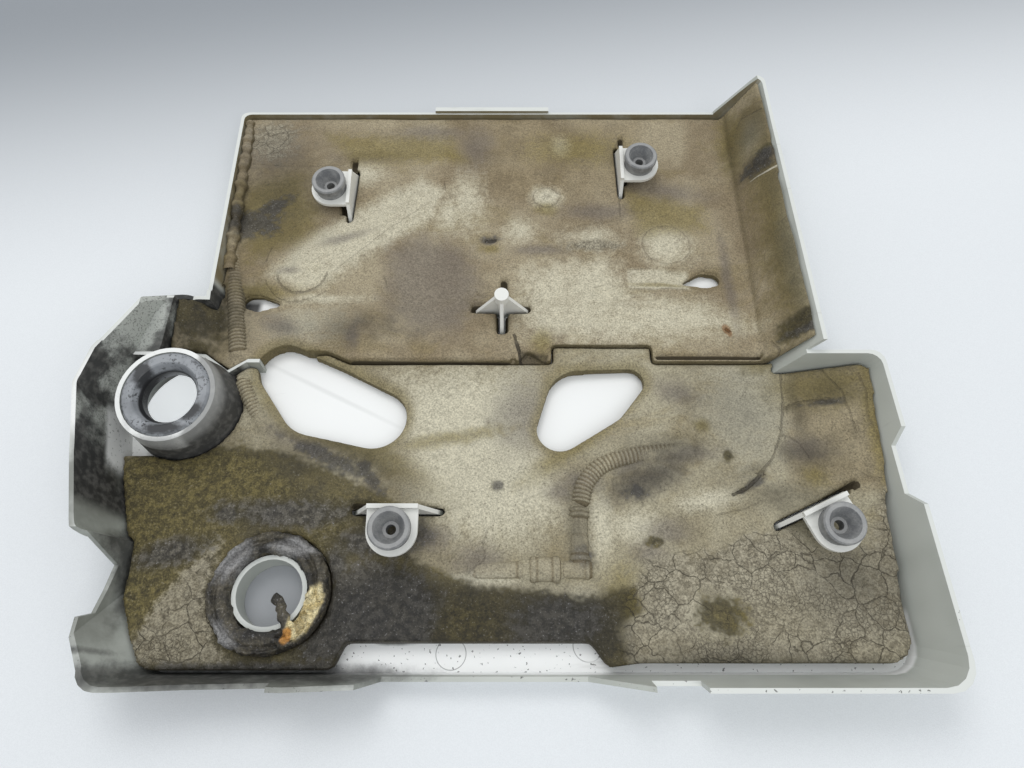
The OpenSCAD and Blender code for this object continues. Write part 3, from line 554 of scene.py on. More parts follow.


# %% [markdown]
# ### Where the stains and the painted shade are
# Each stain, and each patch of painted shade, becomes a mask with one number per vertex. The material
# reads the masks back and frays their edges with noise, which keeps the graph of the material small.
# Front and rear pads have their own lists.
# %% Stain and painted shade maps
def front_stain_and_shade_maps(p):
    return {
        "oil": join(
            patch(p, [(-290, -102), (-246, -95), (-208, -89), (-182, -90), (-149, -95), (-103, -115),
                      (-72, -128), (-62, -140), (-52, -170), (-36, -178), (-22, -186), (7, -191),
                      (46, -193), (72, -196), (95, -190), (100, -205), (84, -214), (90, -250),
                      (-290, -250)], 9),
            spots(p, (149, -208, 18, 15), (112, -160, 7, 4), (170, -98, 4, 4))),
        "soot": join(
            patch(p, [(-105, -180), (-78, -172), (-46, -182), (-32, -198), (-37, -232), (-120, -236)],
                  16),
            spots(p, (46, -212, 30, 15), (-216, -168, 24, 9, 15), (-80, -160, 26, 9), (-138, -240, 90, 4),
                  (-118, -98, 34, 6, -28), (-86, -114, 14, 5, -48), (-180, -141, 8, 6), (62, -172, 8, 7),
                  (-55, -158, 14, 12), (-103, -178, 8, 16), (-140, -140, 44, 9), (244, -58, 14, 3),
                  (102, -124, 9, 5), (186, -118, 12, 3, 32), (4.5, -120, 4, 3.5))),
        "olive": join(
            patch(p, [(-290, -102), (-210, -92), (-167, -95), (-134, -124), (-165, -145), (-193, -172),
                      (-223, -214), (-290, -200)], 14),
            spots(p, (-110, -82, 60, 9, -28), (60, -90, 36, 7, 36), (-20, -212, 34, 12),
                  (246, -46, 34, 14), (199, -206, 3, 22), (88, -196, 14, 22), (230, -113, 9, 7),
                  (155, -74, 5, 5), (166, -236, 44, 4), (257, -232, 20, 8), (228, -230, 10, 8),
                  (204, -20, 14, 10), (-30, -84, 34, 5, 10), (187, -211, 28, 15), (112, -228, 26, 9),
                  (-110, -150, 16, 18), (275, -70, 6, 60))),
        "pale": join(
            patch(p, [(-70, -34), (21, -29), (35, -86), (48, -145), (-12, -160), (-50, -131), (-59, -86)],
                  22),
            spots(p, (196, -204, 46, 30), (120, -215, 28, 20), (152, -131, 18, 6, 10), (76, -150, 8, 26),
                  (100, -150, 14, 10), (-14, -186, 30, 4), (188, -60, 24, 36), (60, -200, 10, 8))),
        # purple-grey stains, and painted shade in the folds
        "dusk": spots(p, (110, -115, 24, 10, 22), (100, -104, 14, 6, 30), (140, -98, 24, 6, 8),
                      (120, -154, 14, 8), (107, -168, 12, 8), (138, -46, 16, 8, -20), (64, -118, 14, 8),
                      (49, -125, 8, 6), (-139, -86, 22, 6, -20), (24, -66, 20, 26), (-180, -136, 12, 9),
                      (-40, -158, 12, 8), (-8, -172, 16, 10), (226, -92, 16, 8), (-92, -60, 20, 10)),
        "dry": join(
            patch(p, [(84, -240), (86, -200), (108, -172), (155, -164), (205, -149), (228, -169),
                      (256, -162), (272, -124), (290, -160), (290, -250)], 12),
            patch(p, [(-226, -228), (-212, -196), (-200, -178), (-182, -160), (-186, -190), (-176, -222),
                      (-160, -238), (-214, -238)], 9)),
        "brown": patch(p, [(221, -5), (300, -9), (300, -97), (278, -131), (252, -122), (211, -116),
                           (215, -78), (223, -44)], 12),
        # painted shade in folds, recesses and along edges
        "deep": join(
            patch(p, [(-120, -236), (-100, -190), (-60, -178), (-36, -184), (10, -190), (60, -192),
                      (90, -194), (92, -236)], 10),
            spots(p, (109, -116, 27, 11, 20)),
            0.7 * spots(p, (-128, -240, 90, 5), (-140, -100, 40, 12, -20), (186, -108, 16, 7, 30),
                        (60, -150, 9, 26), (150, -236, 120, 4), (230, -96, 20, 12), (250, -50, 26, 12),
                        (226, -60, 7, 34), (214, -96, 9, 16, 20), (240, -190, 34, 24),
                        (150, -236, 60, 10)),
            0.75 * spots(p, (184, -62, 34, 44), (130, -92, 30, 14), (200, -128, 26, 12),
                         (-100, -96, 60, 14, -28), (66, -212, 26, 18), (-110, -88, 40, 16, -28))),
    }


def rear_stain_and_shade_maps(p):
    return {
        "oil": join(
            spots(p, (-232, 16, 26, 30), (-246, 100, 10, 70), (-228, 26, 9, 14)),
            spots(p, (232, -6, 16, 9), (233, 168, 6, 5), (224, -10, 8, 8))),
        "soot": join(
            1.1 * spots(p, (-214, 114, 24, 15, 15), (-196, 134, 20, 6, 34)),
            spots(p, (-4, 98, 7, 4), (234, -12, 14, 4), (227, 159, 10, 9), (-246, 122, 8, 14),
                  (240, -4, 5, 8))),
        "olive": join(
            patch(p, [(-222, 155), (-176, 173), (-150, 118), (-162, 96), (-204, 77), (-227, 120)], 14),
            patch(p, [(-156, 224), (-43, 220), (-26, 190), (-132, 190)], 12),
            patch(p, [(115, 152), (180, 136), (183, 108), (124, 104)], 12),
            spots(p, (74, 206, 40, 18), (44, 132, 9, 6), (228, 100, 10, 130), (-190, 44, 26, 8),
                  (-2, 88, 8, 4), (-244, 210, 8, 40), (216, 205, 10, 40), (134, 52, 22, 2),
                  (-226, 60, 6, 30), (38, -4, 8, 10))),
        "pale": join(
            patch(p, [(-186, 61), (-165, 98), (-130, 126), (-67, 170), (-42, 155), (-50, 120), (-112, 75),
                      (-134, 51), (-157, 41)], 9),
            patch(p, [(22, 66), (96, 80), (120, 40), (167, 36), (210, 8), (122, -6), (29, -2), (17, 17)],
                  16),
            patch(p, [(109, 68), (161, 66), (160, 46), (108, 46)], 3),
            1.3 * spots(p, (145, 92, 18, 18), (45, 146, 11, 11), (51, 148, 7, 4)),
            spots(p, (-146, 12, 26, 16), (-138, 36, 28, 5), (-118, 176, 16, 14), (-24, 140, 14, 34),
                  (22, 108, 12, 14), (82, 98, 24, 12), (60, 210, 8, 12), (225, 190, 6, 20),
                  (232, 60, 5, 60), (-40, 128, 14, 20))),
        # purple-grey stains, and painted shade in the folds
        "dusk": join(
            patch(p, [(-86, 87), (-60, 102), (-24, 84), (-12, 52), (-11, 30), (-30, 3), (-70, 8),
                      (-88, 46)], 16),
            spots(p, (-34, 78, 24, 7, -38), (155, 152, 28, 10, -10), (39, 87, 22, 5), (-62, 226, 34, 10),
                  (-18, 208, 14, 24), (-168, 12, 14, 7, -20), (-109, 2, 5, 12), (-170, 66, 8, 3),
                  (-206, 210, 24, 26), (92, 130, 30, 8), (-110, 196, 30, 6), (-128, 100, 20, 4, 20),
                  (192, 60, 4, 40), (230, 148, 8, 30))),
        "dry": spots(p, (-206, 220, 20, 24), (84, 92, 24, 6)),
        # painted shade in folds, recesses and along edges, which also deepens the dark oily corner at the
        # rear left
        "deep": join(
            spots(p, (-225, 18, 32, 42), (227, 158, 12, 13), (234, -2, 16, 8), (-226, 118, 17, 15),
                  (-240, 150, 8, 110)),
            patch(p, [(20.4, -11.5), (42.8, -15.9), (41, -24), (34.9, -26), (21.9, -26)], 1.5),
            0.75 * spots(p, (232, 60, 15, 100), (226, 200, 16, 40), (-120, 10, 50, 16),
                         (-190, 150, 40, 60))),
        "brown": join(
            patch(p, [(-44, 257), (136, 243), (111, 161), (57, 143), (-18, 155)], 24),
            spots(p, (-196, 160, 34, 44))),
    }


# %% [markdown]
# ### Creases
# A crease is thinner than the mesh is fine, so a mask would lose it. What survives between vertices is a
# straight slope: the distance to one side of the line, which passes through zero on the line itself. Each
# vertex keeps that for its nearest crease, with how far it is past the end and how wide the crease is.
# %% Creases as slopes
CREASES = [(-1, -150, -5, -163, 0.6), (-5, -163, -3, -172, 0.6), (-3, -172, -14, -182, 0.6),
           (-16, -152, -12, -166, 0.4), (8, -118, 15, -113, 0.4), (1, -117, -7, -111, 0.4),
           (6, -124, 9, -130, 0.35), (270, -38, 273, -54, 0.7), (273, -54, 271, -71, 0.7),
           (271, -71, 275, -90, 0.6), (211, -78, 223, -87, 0.7), (223, -87, 229, -100, 0.6),
           (225, -86, 234, -82, 0.4), (112, 158, 109.5, 141, 0.8), (109.5, 141, 109, 124, 0.7),
           (68, 113, 109, 121, 0.4), (69, 108.5, 108, 116.5, 0.4), (-228, -98, -217, -111, 0.5),
           (193, -180, 200, -192, 0.7), (200, -192, 202, -208, 0.6), (156, -141, 176, -137, 0.7),
           (176, -137, 190, -131, 0.5), (-90, 60, -86, 46, 0.6), (150, -84, 170, -86, 0.4),
           (148, -92, 166, -95, 0.4), (90, -96, 100, -90, 0.3), (169, -127, 181, -121.5, 1.3),
           (181, -121.5, 192, -111.5, 1.2), (218, -58, 232, -55, 0.8), (232, -55, 250, -55, 0.8),
           (-8, 98, 2, 97, 1.8), (183, 9, 186, 5, 1.6), (-10, 17, -2, 9.5, 0.4), (-2, 9.5, 8, 7, 0.4),
           (-14, 14, -6, 6, 0.35), (25, 15, 14, 7, 0.4), (228, 216, 234, 212, 1.0),
           (222, 222, 227, 217, 0.7), (219, 214, 222, 221, 0.6), (230, 224, 236, 221, 0.6),
           (228, 88, 236, 92, 0.6), (236, 96, 242, 104, 0.7), (-130, 172, -112, 158, 0.4),
           (-46, 166, -44, 156, 0.6), (60, 180, 62, 168, 0.3), (196, 66, 188, 65, 0.3),
           (196, 61, 188, 60, 0.3), (255, -108, 268, -120, 0.5), (212, -9, 219, -29, 0.8),
           (219, -29, 218, -53, 1.0), (218, -53, 212, -79, 1.0), (212, -79, 202, -100, 0.9),
           (202, -100, 190, -112, 1.1), (246, -30, 258, -52, 0.7), (258, -52, 262, -84, 0.7),
           (236, -120, 250, -128, 0.4), (66, -160, 70, -172, 0.5), (122, -196, 132, -204, 0.4),
           (108, -206, 98, -214, 0.4), (16.6, 3, 18.9, -6, 1.3), (18.9, -6, 20.4, -12.4, 1.5),
           (20.4, -12.4, 21.9, -21, 1.3), (-128.4, 182, -126.4, 128, 1.7), (115.7, 211, 110.7, 163, 1.7),
           (-222, 187, -177, 184, 0.5), (-177, 184, -137, 187, 0.5), (-132, 64, -96, 104, 0.5),
           (-96, 104, -66, 132, 0.5), (110, 47, 158, 47, 0.6), (110, 66, 130, 68, 0.5),
           (56, 142, 59, 151, 0.5), (43, 149, 47, 143, 0.6), (42, 143, 48, 148, 0.6),
           (-187, 92, -190, 74, 0.7)]


def arc(x, y, r, a0, a1, half, parts=9):
    """A round crease, as short straight ones."""
    turns = np.radians(np.linspace(a0, a1, parts + 1))
    ends = [(x + r * math.cos(t), y + r * math.sin(t)) for t in turns]
    return [(*a, *b, half) for a, b in zip(ends, ends[1:])]


CREASES += (arc(-158, 64, 20.5, -175, -2, 1.0) + arc(-158, 64, 30, -165, -40, 0.6)
            + arc(145, 92, 20.5, 0, 360, 0.6, 16) + arc(45, 146, 11.5, 20, 340, 0.7, 12)
            + arc(-76, 130, 40, 15, 55, 0.4, 4))


def crease_slopes(p):
    best = np.full(len(p), 1e9)
    slopes = np.tile([9.0, 9.0, 0.0], (len(p), 1))
    for x0, y0, x1, y1, half in CREASES:
        d = along(p, (x0, y0), (x1, y1))[0]
        length = math.hypot(x1 - x0, y1 - y0)
        ux, uy = (x1 - x0) / length, (y1 - y0) / length
        dx, dy = p[:, 0] - (x0 + x1) / 2, p[:, 1] - (y0 + y1) / 2
        here = d < best
        best[here] = d[here]
        slopes[here] = np.stack([np.abs(dx * ux + dy * uy) - length / 2, dy * ux - dx * uy,
                                 np.full(len(p), half)], axis=1)[here]
    return slopes, np.minimum(best, 9.0)


print(len(CREASES), "creases")

# %% [markdown]
# ## Moulded foam
# The pads are soft foam with a closed skin. Oil has coloured them: dark olive and black at the front
# left, grey beige with a fine crackle at the front right, and brown grey with olive streaks at the rear.
# One material makes them all. Most of what looks like texture from a step away is fine: bright and dark
# flecks of about a millimetre, and plates of 4 mm where the skin has dried.
# %% Foam skin
def painted(name, out="Fac"):
    return Sock.node("Attribute", {"attribute_type": "GEOMETRY", "attribute_name": name}, out=out)


def frayed(name, cloud, ragged, soft):
    """A painted mask with its edge pushed about by noise."""
    return (painted(name) + (cloud - 0.5) * ragged).between(0.5 - soft, 0.5 + soft)


def foam_skin():
    made = material("foam_skin")
    z = axis("Z")
    cloud, mottle, lumps = grain(13.0, 4.0, 0.6, 0.4), grain(46.0, 5.0, 0.66), grain(190.0, 4.0, 0.65)
    speck = grain(760.0, 3.0, 0.8)
    fray = mottle * 0.48 + lumps * 0.52
    broad = cloud.between(0.36, 0.64)
    body = blend(painted("rear"), blend(broad, (0.265, 0.23, 0.150), (0.375, 0.340, 0.240)),
                 blend(broad, (0.225, 0.178, 0.108), (0.335, 0.285, 0.190)))
    streaks = grain(15.0, 4.0, 0.62, 0.6, at=stretched(35, 1.9)).between(0.50, 0.66)
    body = blend(streaks * 0.45, body, blend(mottle, (0.17, 0.13, 0.055), (0.27, 0.215, 0.105)))
    body = blend(frayed("brown", mottle, 0.6, 0.3) * 0.6, body,
                 blend(mottle.between(0.4, 0.6), (0.17, 0.13, 0.07), (0.27, 0.215, 0.125)))
    body = blend(frayed("pale", fray, 1.3, 0.42) * 0.84, body, (0.565, 0.53, 0.405))
    # purple-grey stains, with painted shade in the folds
    body = blend(frayed("dusk", fray, 1.5, 0.45) * 0.56, body, (0.125, 0.108, 0.100))
    body = blend(frayed("olive", fray, 1.4, 0.42) * 0.62, body,
                 blend(lumps, (0.125, 0.095, 0.012), (0.225, 0.178, 0.050)))
    body = blend(frayed("oil", fray, 1.8, 0.18) * 0.93, body,
                 blend(mottle.between(0.40, 0.60), (0.058, 0.048, 0.020), (0.118, 0.095, 0.034)))
    body = blend(frayed("olive", mottle, 0.5, 0.3) * frayed("oil", mottle, 0.5, 0.2) * 0.75, body,
                 blend(lumps.between(0.35, 0.65), (0.062, 0.050, 0.016), (0.130, 0.105, 0.034)))
    dry = frayed("dry", fray, 1.6, 0.2)
    body = blend(dry * (1 - frayed("oil", lumps, 0.8, 0.2) * painted("front_right")) * 0.85, body,
                 blend(lumps.between(0.38, 0.62), (0.200, 0.176, 0.124), (0.312, 0.282, 0.208)))
    soot = frayed("soot", fray, 2.2, 0.24)
    body = blend(soot * 0.80, body, blend(lumps.between(0.4, 0.6), (0.022, 0.020, 0.019),
                                          (0.078, 0.072, 0.064)))
    # the rounded edge round the windows is olive, partly darkened as painted shade, and steep side faces are
    # painted dark, partly from oil-soaked foam and partly as painted shade
    body = blend(frayed("rim", lumps, 0.35, 0.4) * 0.6, body,
                 blend(lumps, (0.17, 0.135, 0.05), (0.29, 0.245, 0.125)))
    cut = facing_up().between(0.72, 0.30) * z.between(0.027, 0.020)
    body = blend(cut * 0.72, body, (0.085, 0.066, 0.022))
    # plates of dried skin, pits, and wet granules with painted glints
    plates = cells(330.0, 0.10, wobble(190.0, 0.003)) * grain(34.0, 3.0).between(0.40, 0.58)
    torn = cells(62.0, 0.030, wobble(75.0, 0.012)) * grain(21.0, 3.0).between(0.38, 0.50)
    cracks = ((plates * 0.7).most(torn * 1.3) * (dry * 0.9 + painted("front") * 0.22)) * (1 - soot)
    line, near = painted("crease", "Vector"), painted("crease_near")
    width = axis("Z", line)
    off_line = (axis("Y", line) + (lumps - 0.5) * 2.4).maths("ABSOLUTE")
    creases = ((width * 0.8 - off_line).between(-0.4, 0.3) * axis("X", line).between(0.6, -1.2)
               * near.between(3.2, 2.2))
    gashes = creases * width.between(1.0, 1.5)
    creases = creases * width.between(0.0, 1.1)
    body = blend(cracks * 0.50, body, (0.055, 0.045, 0.028))
    # painted shade along the creases, and deeper painted shade in the gashes
    body = blend(creases * 0.42, body, (0.060, 0.048, 0.030))
    body = blend(gashes * 0.85, body, (0.030, 0.024, 0.015))
    body = blend(stains(lumps, (184, 7, 3, 6, 20)) * 0.7, body, (0.20, 0.085, 0.020))
    body = blend(stains(lumps, (228, 145, 8, 0.9, -12), (238, 146, 6, 0.7, 20), ragged=1.2) * 0.8, body,
                 (0.66, 0.62, 0.50))
    pits = Sock.node("TexVoronoi", {"feature": "F1"}, {"Vector": place(), "Scale": 300.0})
    pits = pits.between(0.20, 0.08)
    pits = pits * grain(25.0, 3.0).between(0.42, 0.6)
    body = blend(pits * 0.4, body, (0.045, 0.036, 0.018))
    wet = frayed("oil", lumps, 0.6, 0.2) * (1 - dry)
    # prints stand out pale, partly worn and partly a painted highlight, and painted shade darkens the
    # grooves between their ribs brown
    body = blend(painted("print") * 0.40, body, (0.37, 0.33, 0.235))
    body = blend(painted("groove") * 0.75, body, (0.115, 0.085, 0.040))
    # painted shade: this mask darkens folds, recesses, edges and the oily rear left corner
    shade = 1 - frayed("deep", fray, 1.3, 0.4) * 0.57
    body = Sock.node("VectorMath", {"operation": "SCALE"},
                     {0: body, "Scale": (0.64 + speck.between(0.28, 0.72) * 0.68
                                         + (lumps - 0.5) * (wet * 1.1 + 0.4)) * shade})
    # painted shade in the open slots
    slot = painted("slot").between(0.40, 0.60)
    body = blend(slot * 0.92, body, (0.040, 0.030, 0.014))
    # painted glints on the wet and sooty granules
    glints = speck.between(0.63, 0.70) * (soot.most(wet * 0.6)) * lumps.between(0.42, 0.6)
    body = blend(glints * 0.85, body, (0.300, 0.300, 0.320))
    height = (speck * 0.45 + lumps * (0.6 + soot * 0.8 + wet * 0.3) - cracks * 0.9 - creases * 1.2
              - gashes * 2.0 - pits * 0.6)
    dress(made, Base_Color=body, Roughness=0.88 - soot * 0.20 - wet * 0.10 - glints * 0.25,
          Normal=bump(height, 0.7, 0.0010))
    return made


foam = foam_skin()
print("foam nodes", len(foam.node_tree.nodes))

# %% Put the stain and painted shade maps on a piece of foam
def paint(piece, rear):
    p = corners(piece) * 1e3
    masks = (rear_stain_and_shade_maps if rear else front_stain_and_shade_maps)(p)
    masks["rear"] = np.full(len(p), float(rear))
    masks["front"] = 1 - masks["rear"]
    masks["front_right"] = smooth((p[:, 0] - 60) / 30)
    masks["rim"] = np.clip(1 - 0.5 * window_gap(p) / 5.5, 0, 1)
    # where the slots are, for their painted shade
    masks["slot"] = cut_by(p, REAR_SLOTS if rear else FRONT_SLOTS, 3.0) * smooth((p[:, 2] - 4) / 3)
    masks["pale"] = masks["pale"] * (0.76 if rear else 0.95)
    masks = {name: np.clip(values, 0, 1) for name, values in masks.items()}
    slopes, masks["crease_near"] = crease_slopes(p)
    for name, values in masks.items():
        layer = piece.data.attributes.new(name, "FLOAT", "POINT")
        layer.data.foreach_set("value", values.astype(np.float32))
    layer = piece.data.attributes.new("crease", "FLOAT_VECTOR", "POINT")
    layer.data.foreach_set("vector", np.clip(slopes, -9, 9).astype(np.float32).reshape(-1))
    wear(piece, foam)
    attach(piece, "root")


# %% [markdown]
# ### Making the two pads
# The pads are remeshed, pushed into shape and painted, and the CAD solids behind them are hidden by name.
# They still stand for the foam in every check.
# %% Pads
VOXEL = 0.0020


def make_pad(node, name, relief, low):
    piece = remeshed(node, name, VOXEL, 4)
    co = corners(piece)
    weight = smooth((co[:, 2] * 1e3 - low) / 3.0)
    co[:, 2] += relief(co * 1e3) * weight / 1e3
    # the front pad stands back from the front and side walls, so that a strip of bare floor shows
    if node == "front_foam_pad":
        x, y = co[:, 0].copy() * 1e3, co[:, 1].copy() * 1e3
        co[:, 1] += (2.0 + 4.0 * smooth((x - 60) / 40)) * smooth((-215 - y) / 20) / 1e3
        co[:, 0] -= 4.0 * smooth((x - 240) / 25) * smooth((-90 - y) / 60) / 1e3
        co[:, 0] += 4.0 * smooth((-222 - x) / 25) * smooth((-150 - y) / 50) / 1e3
    set_corners(piece, co)
    paint(piece, node == "rear_foam_pad")
    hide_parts(node)


make_pad("front_foam_pad", "front_pad_foam", front_relief, 11.0)
make_pad("rear_foam_pad", "rear_pad_foam", rear_relief, 12.0)

# %% [markdown]
# ### Hoses and a connector
# Corrugated hoses and a pipe connector left their shape in the foam as half tubes. Each is made as a tube
# that is swept along its path with a radius that changes along the way: it goes in and out once a rib on
# a hose, and steps up to a banded sleeve on the connector. It is sunk so that only its upper half shows.
# The rolled edge of foam along the rear left wall is swept in the same way and roughened a little.
# %% Sweep a half tube along a path
def curve_through(points, step):
    """A smooth path through the points, in even steps."""
    pts = np.array(points, float)
    pts = np.vstack([2 * pts[0] - pts[1], pts, 2 * pts[-1] - pts[-2]])
    out = []
    for a, b, c, d in zip(pts, pts[1:], pts[2:], pts[3:]):
        n = max(2, int(np.linalg.norm(c - b) / step))
        for t in np.arange(n) / n:
            out.append(0.5 * ((2 * b) + (c - a) * t + (2 * a - 5 * b + 4 * c - d) * t ** 2
                              + (3 * b - a - 3 * c + d) * t ** 3))
    out.append(pts[-2])
    return np.array(out)


def swept(name, points, radius, step=0.7, around=20, flat=1.0, whole=False):
    """radius is a function of the way along, and of the whole length."""
    path = curve_through(points, step)
    run = np.concatenate([[0], np.cumsum(np.linalg.norm(np.diff(path, axis=0), axis=1))])
    tangent = np.gradient(path, axis=0)
    tangent /= np.linalg.norm(tangent, axis=1)[:, None]
    verts, faces = [], []
    for p, t, s in zip(path, tangent, run):
        side = np.cross(t, (0, 0, 1))
        side /= np.linalg.norm(side)
        lift = np.cross(side, t) * flat
        for k in range(around):
            a = 2 * math.pi * k / around if whole else math.pi * (k / (around - 1) * 1.3 - 0.15)
            verts.append((p + radius(s, run[-1]) * (math.cos(a) * side + math.sin(a) * lift)) / 1e3)
    last = around if whole else around - 1
    for i in range(len(path) - 1):
        for k in range(last):
            a, b = i * around + k, i * around + (k + 1) % around
            faces.append((a, b, b + around, a + around))
    if whole:
        faces += [tuple(range(around))[::-1], tuple(len(verts) - around + k for k in range(around))]
    mesh = bpy.data.meshes.new(name)
    mesh.from_pydata([tuple(v) for v in verts], [], faces)
    mesh.polygons.foreach_set("use_smooth", [True] * len(mesh.polygons))
    mesh.update()
    # how far each place lies under the ribs beside it
    under = [max(radius(max(0.0, min(run[-1], s + d)), run[-1]) for d in (-1.8, -0.9, 0.9, 1.8))
             - radius(s, run[-1]) for s in run]
    # groove feeds the painted shade between the ribs, and print the pale, partly highlighted print
    for label, values in (("groove", np.clip(np.array(under) / 0.8, 0, 1)), ("print", np.ones(len(run)))):
        layer = mesh.attributes.new(label, "FLOAT", "POINT")
        layer.data.foreach_set("value", np.repeat(values, around).astype(np.float32))
    piece = bpy.data.objects.new(name, mesh)
    bpy.context.scene.collection.objects.link(piece)
    return piece


def ribs(r0, r1, pitch, depth, ends=6.0):
    """Ribs that fade at both ends, on a tube that goes from r0 to r1."""
    def radius(s, total):
        fade = float(smooth(min(s, total - s) / ends))
        r = (r0 + (r1 - r0) * s / total) * (0.45 + 0.55 * fade)
        return r + depth * fade * (0.5 + 0.5 * math.cos(2 * math.pi * s / pitch)) ** 0.7
    return radius


def steps(*stops):
    """A radius that goes through the stops, each as a place along the way and a radius."""
    return lambda s, total: float(np.interp(s, [a for a, r in stops], [r for a, r in stops]))


# %% Hose prints and the connector
TOP_FRONT = 15.0


def rear_top(y):
    return 19.0 - (y + 21.0) * 4.0 / 277.0


prints = [
    swept("hose_print_front",
          [(147, -95, TOP_FRONT - 4), (132, -94, TOP_FRONT - 2), (105, -97, TOP_FRONT - 1.4),
           (80, -105, TOP_FRONT - 1.2), (66, -120, TOP_FRONT - 1.2), (61.5, -138, TOP_FRONT - 1.2)],
          ribs(5.4, 6.4, 3.0, 0.9)),
    swept("tube_print_front",
          [(61.4, -137, TOP_FRONT - 1), (60.4, -158, TOP_FRONT - 1), (60, -178, TOP_FRONT - 1)],
          steps((0, 5.6), (1, 7.2), (2.6, 7.2), (3.2, 6.4), (4.4, 7.3), (6, 7.3), (6.8, 6.3), (20, 6.3),
                (21, 6.6), (33, 6.5), (33.6, 7.2), (36, 7.2), (37, 6.2), (41, 6.0))),
    swept("connector_print",
          [(-17, -180, TOP_FRONT - 1.8), (20, -179.2, TOP_FRONT - 1.4), (68, -179, TOP_FRONT - 1.4)],
          steps((0, 1.5), (5, 5.0), (9, 5.8), (36, 6.0), (36.6, 6.6), (38.6, 6.6), (39.2, 6.0), (43, 6.2),
                (44, 8.9), (47, 9.4), (48, 8.8), (59, 8.8), (60, 9.4), (63.5, 9.2), (64.4, 6.2), (80, 6.5),
                (82, 7.0), (85, 5.4))),
    swept("hose_print_rear",
          [(-195, -18, rear_top(-18) - 1.5), (-208, 38, rear_top(38) - 1), (-222, 98, rear_top(98) - 2)],
          ribs(6.6, 5.2, 3.2, 0.9)),
    swept("hose_print_bay",
          [(-192, -34, TOP_FRONT - 1), (-178, -58, TOP_FRONT - 1), (-164, -80, TOP_FRONT - 2.5)],
          ribs(5.8, 4.0, 3.0, 0.8)),
]
prints.append(swept("rolled_edge_rear",
                    [(-216.5, 62, 21.5), (-219.5, 95, 21.5), (-222.5, 130, 20.5), (-226, 165, 18.5),
                     (-229, 200, 17), (-232.5, 240, 14)],
                    lambda s, total: 4.6 + 0.7 * math.sin(s * 0.21) + 0.5 * math.sin(s * 0.53 + 1.0),
                    step=1.2, around=16))
# without a seed these random vectors start from the clock, and no two runs would be the same
SEED = 7
noise.seed_set(SEED)
co = corners(prints[-1])
co += np.array([Vector(noise.noise_vector(Vector(q) * 120.0)) for q in co]) * 0.0012
set_corners(prints[-1], co)
prints[-1].data.attributes.remove(prints[-1].data.attributes["print"])
for piece in prints:
    at_rear = piece.name.endswith("_rear")
    paint(piece, at_rear)
print(len(prints), "prints made")

# %% [markdown]
# ## The torn foam collar
# A ring of open foam goes round the dipstick hole. It has soaked up oil, so it is nearly black and wet.
# A groove winds round it like a snail shell, part of it is torn away and shows clean yellow foam, and a
# thin curl hangs from the tear into the hole. The ring is rebuilt from the CAD ring, and each vertex is
# then moved by a function of its angle and distance from the middle of the hole.
# %% Collar foam
def collar_foam():
    made = material("collar_foam")
    fray, fine = grain(150.0, 4.0, 0.65), grain(620.0, 3.0, 0.75)
    wet = grain(80.0, 5.0, 0.7)
    body = blend(wet.between(0.38, 0.64), (0.020, 0.018, 0.015), (0.088, 0.076, 0.052))
    grey = stains(fray, (-170, -173, 11, 15, -35), (-128, -166, 14, 6), (-172, -222, 14, 8, -30),
                  soft=1.0, ragged=1.2)
    body = blend(grey * 0.8, body, (0.265, 0.262, 0.260))
    torn = stains(fray, (-116, -207, 7.5, 18, -24), soft=0.3, ragged=0.5)
    tears = grain(130.0, 4.0, 0.7, at=stretched(60, 4.0)).between(0.58, 0.66)
    body = blend(torn, body, blend(fray.between(0.35, 0.65), (0.50, 0.40, 0.19), (0.72, 0.64, 0.40)))
    body = blend(torn * tears * 0.7, body, (0.06, 0.045, 0.02))
    body = blend(stains(fray, (-126, -222, 3, 5, -20), soft=0.5, ragged=0.5), body, (0.42, 0.20, 0.045))
    body = Sock.node("VectorMath", {"operation": "SCALE"},
                     {0: body, "Scale": 0.5 + fine.between(0.28, 0.72)})
    # painted glints stand for the wet shine
    glints = fine.between(0.60, 0.68) * (1 - torn)
    body = blend(glints * 0.55, body, (0.26, 0.26, 0.27))
    dress(made, Base_Color=body, Roughness=0.60 - glints * 0.25 + torn * 0.25,
          Normal=bump(fray * 1.2 + fine * 0.6, 0.9, 0.0014))
    return made


collar = remeshed("foam_collar", "collar_foam", 0.0010, 2)
co = corners(collar)
dx, dy = co[:, 0] * 1e3 - HOLE[0], co[:, 1] * 1e3 - HOLE[1]
r, a = np.hypot(dx, dy), np.degrees(np.arctan2(dy, dx))
top = smooth((co[:, 2] * 1e3 - 12.0) / 6.0)
groove = 30.5 + 5.0 * ((a + 70) % 360) / 360
lift = -3.2 * smooth(1 - np.abs(r - groove) / 2.6) + 1.0 * smooth(1 - np.abs(r - 27.5) / 3.0)
tear = smooth((62 + a) / 8) * smooth((-6 - a) / 8) * smooth((r - 25) / 2) * smooth((37.2 - r) / 1.4)
lift = lift * (1 - tear) - 5.0 * tear
push = np.array([noise.fractal(Vector(q) * 95.0, 1.0, 2.0, 4) for q in co])
fine_push = np.array([noise.fractal(Vector(q) * 330.0, 1.0, 2.0, 3) for q in co])
normals = np.array([v.normal for v in collar.data.vertices])
co += normals * ((push * 2.2 + fine_push * 0.8) * top * (1 - 0.7 * tear))[:, None] / 1e3
co[:, 2] += lift * top / 1e3
set_corners(collar, co)
oily_foam = collar_foam()
wear(collar, oily_foam)
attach(collar, "root")
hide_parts("foam_collar")

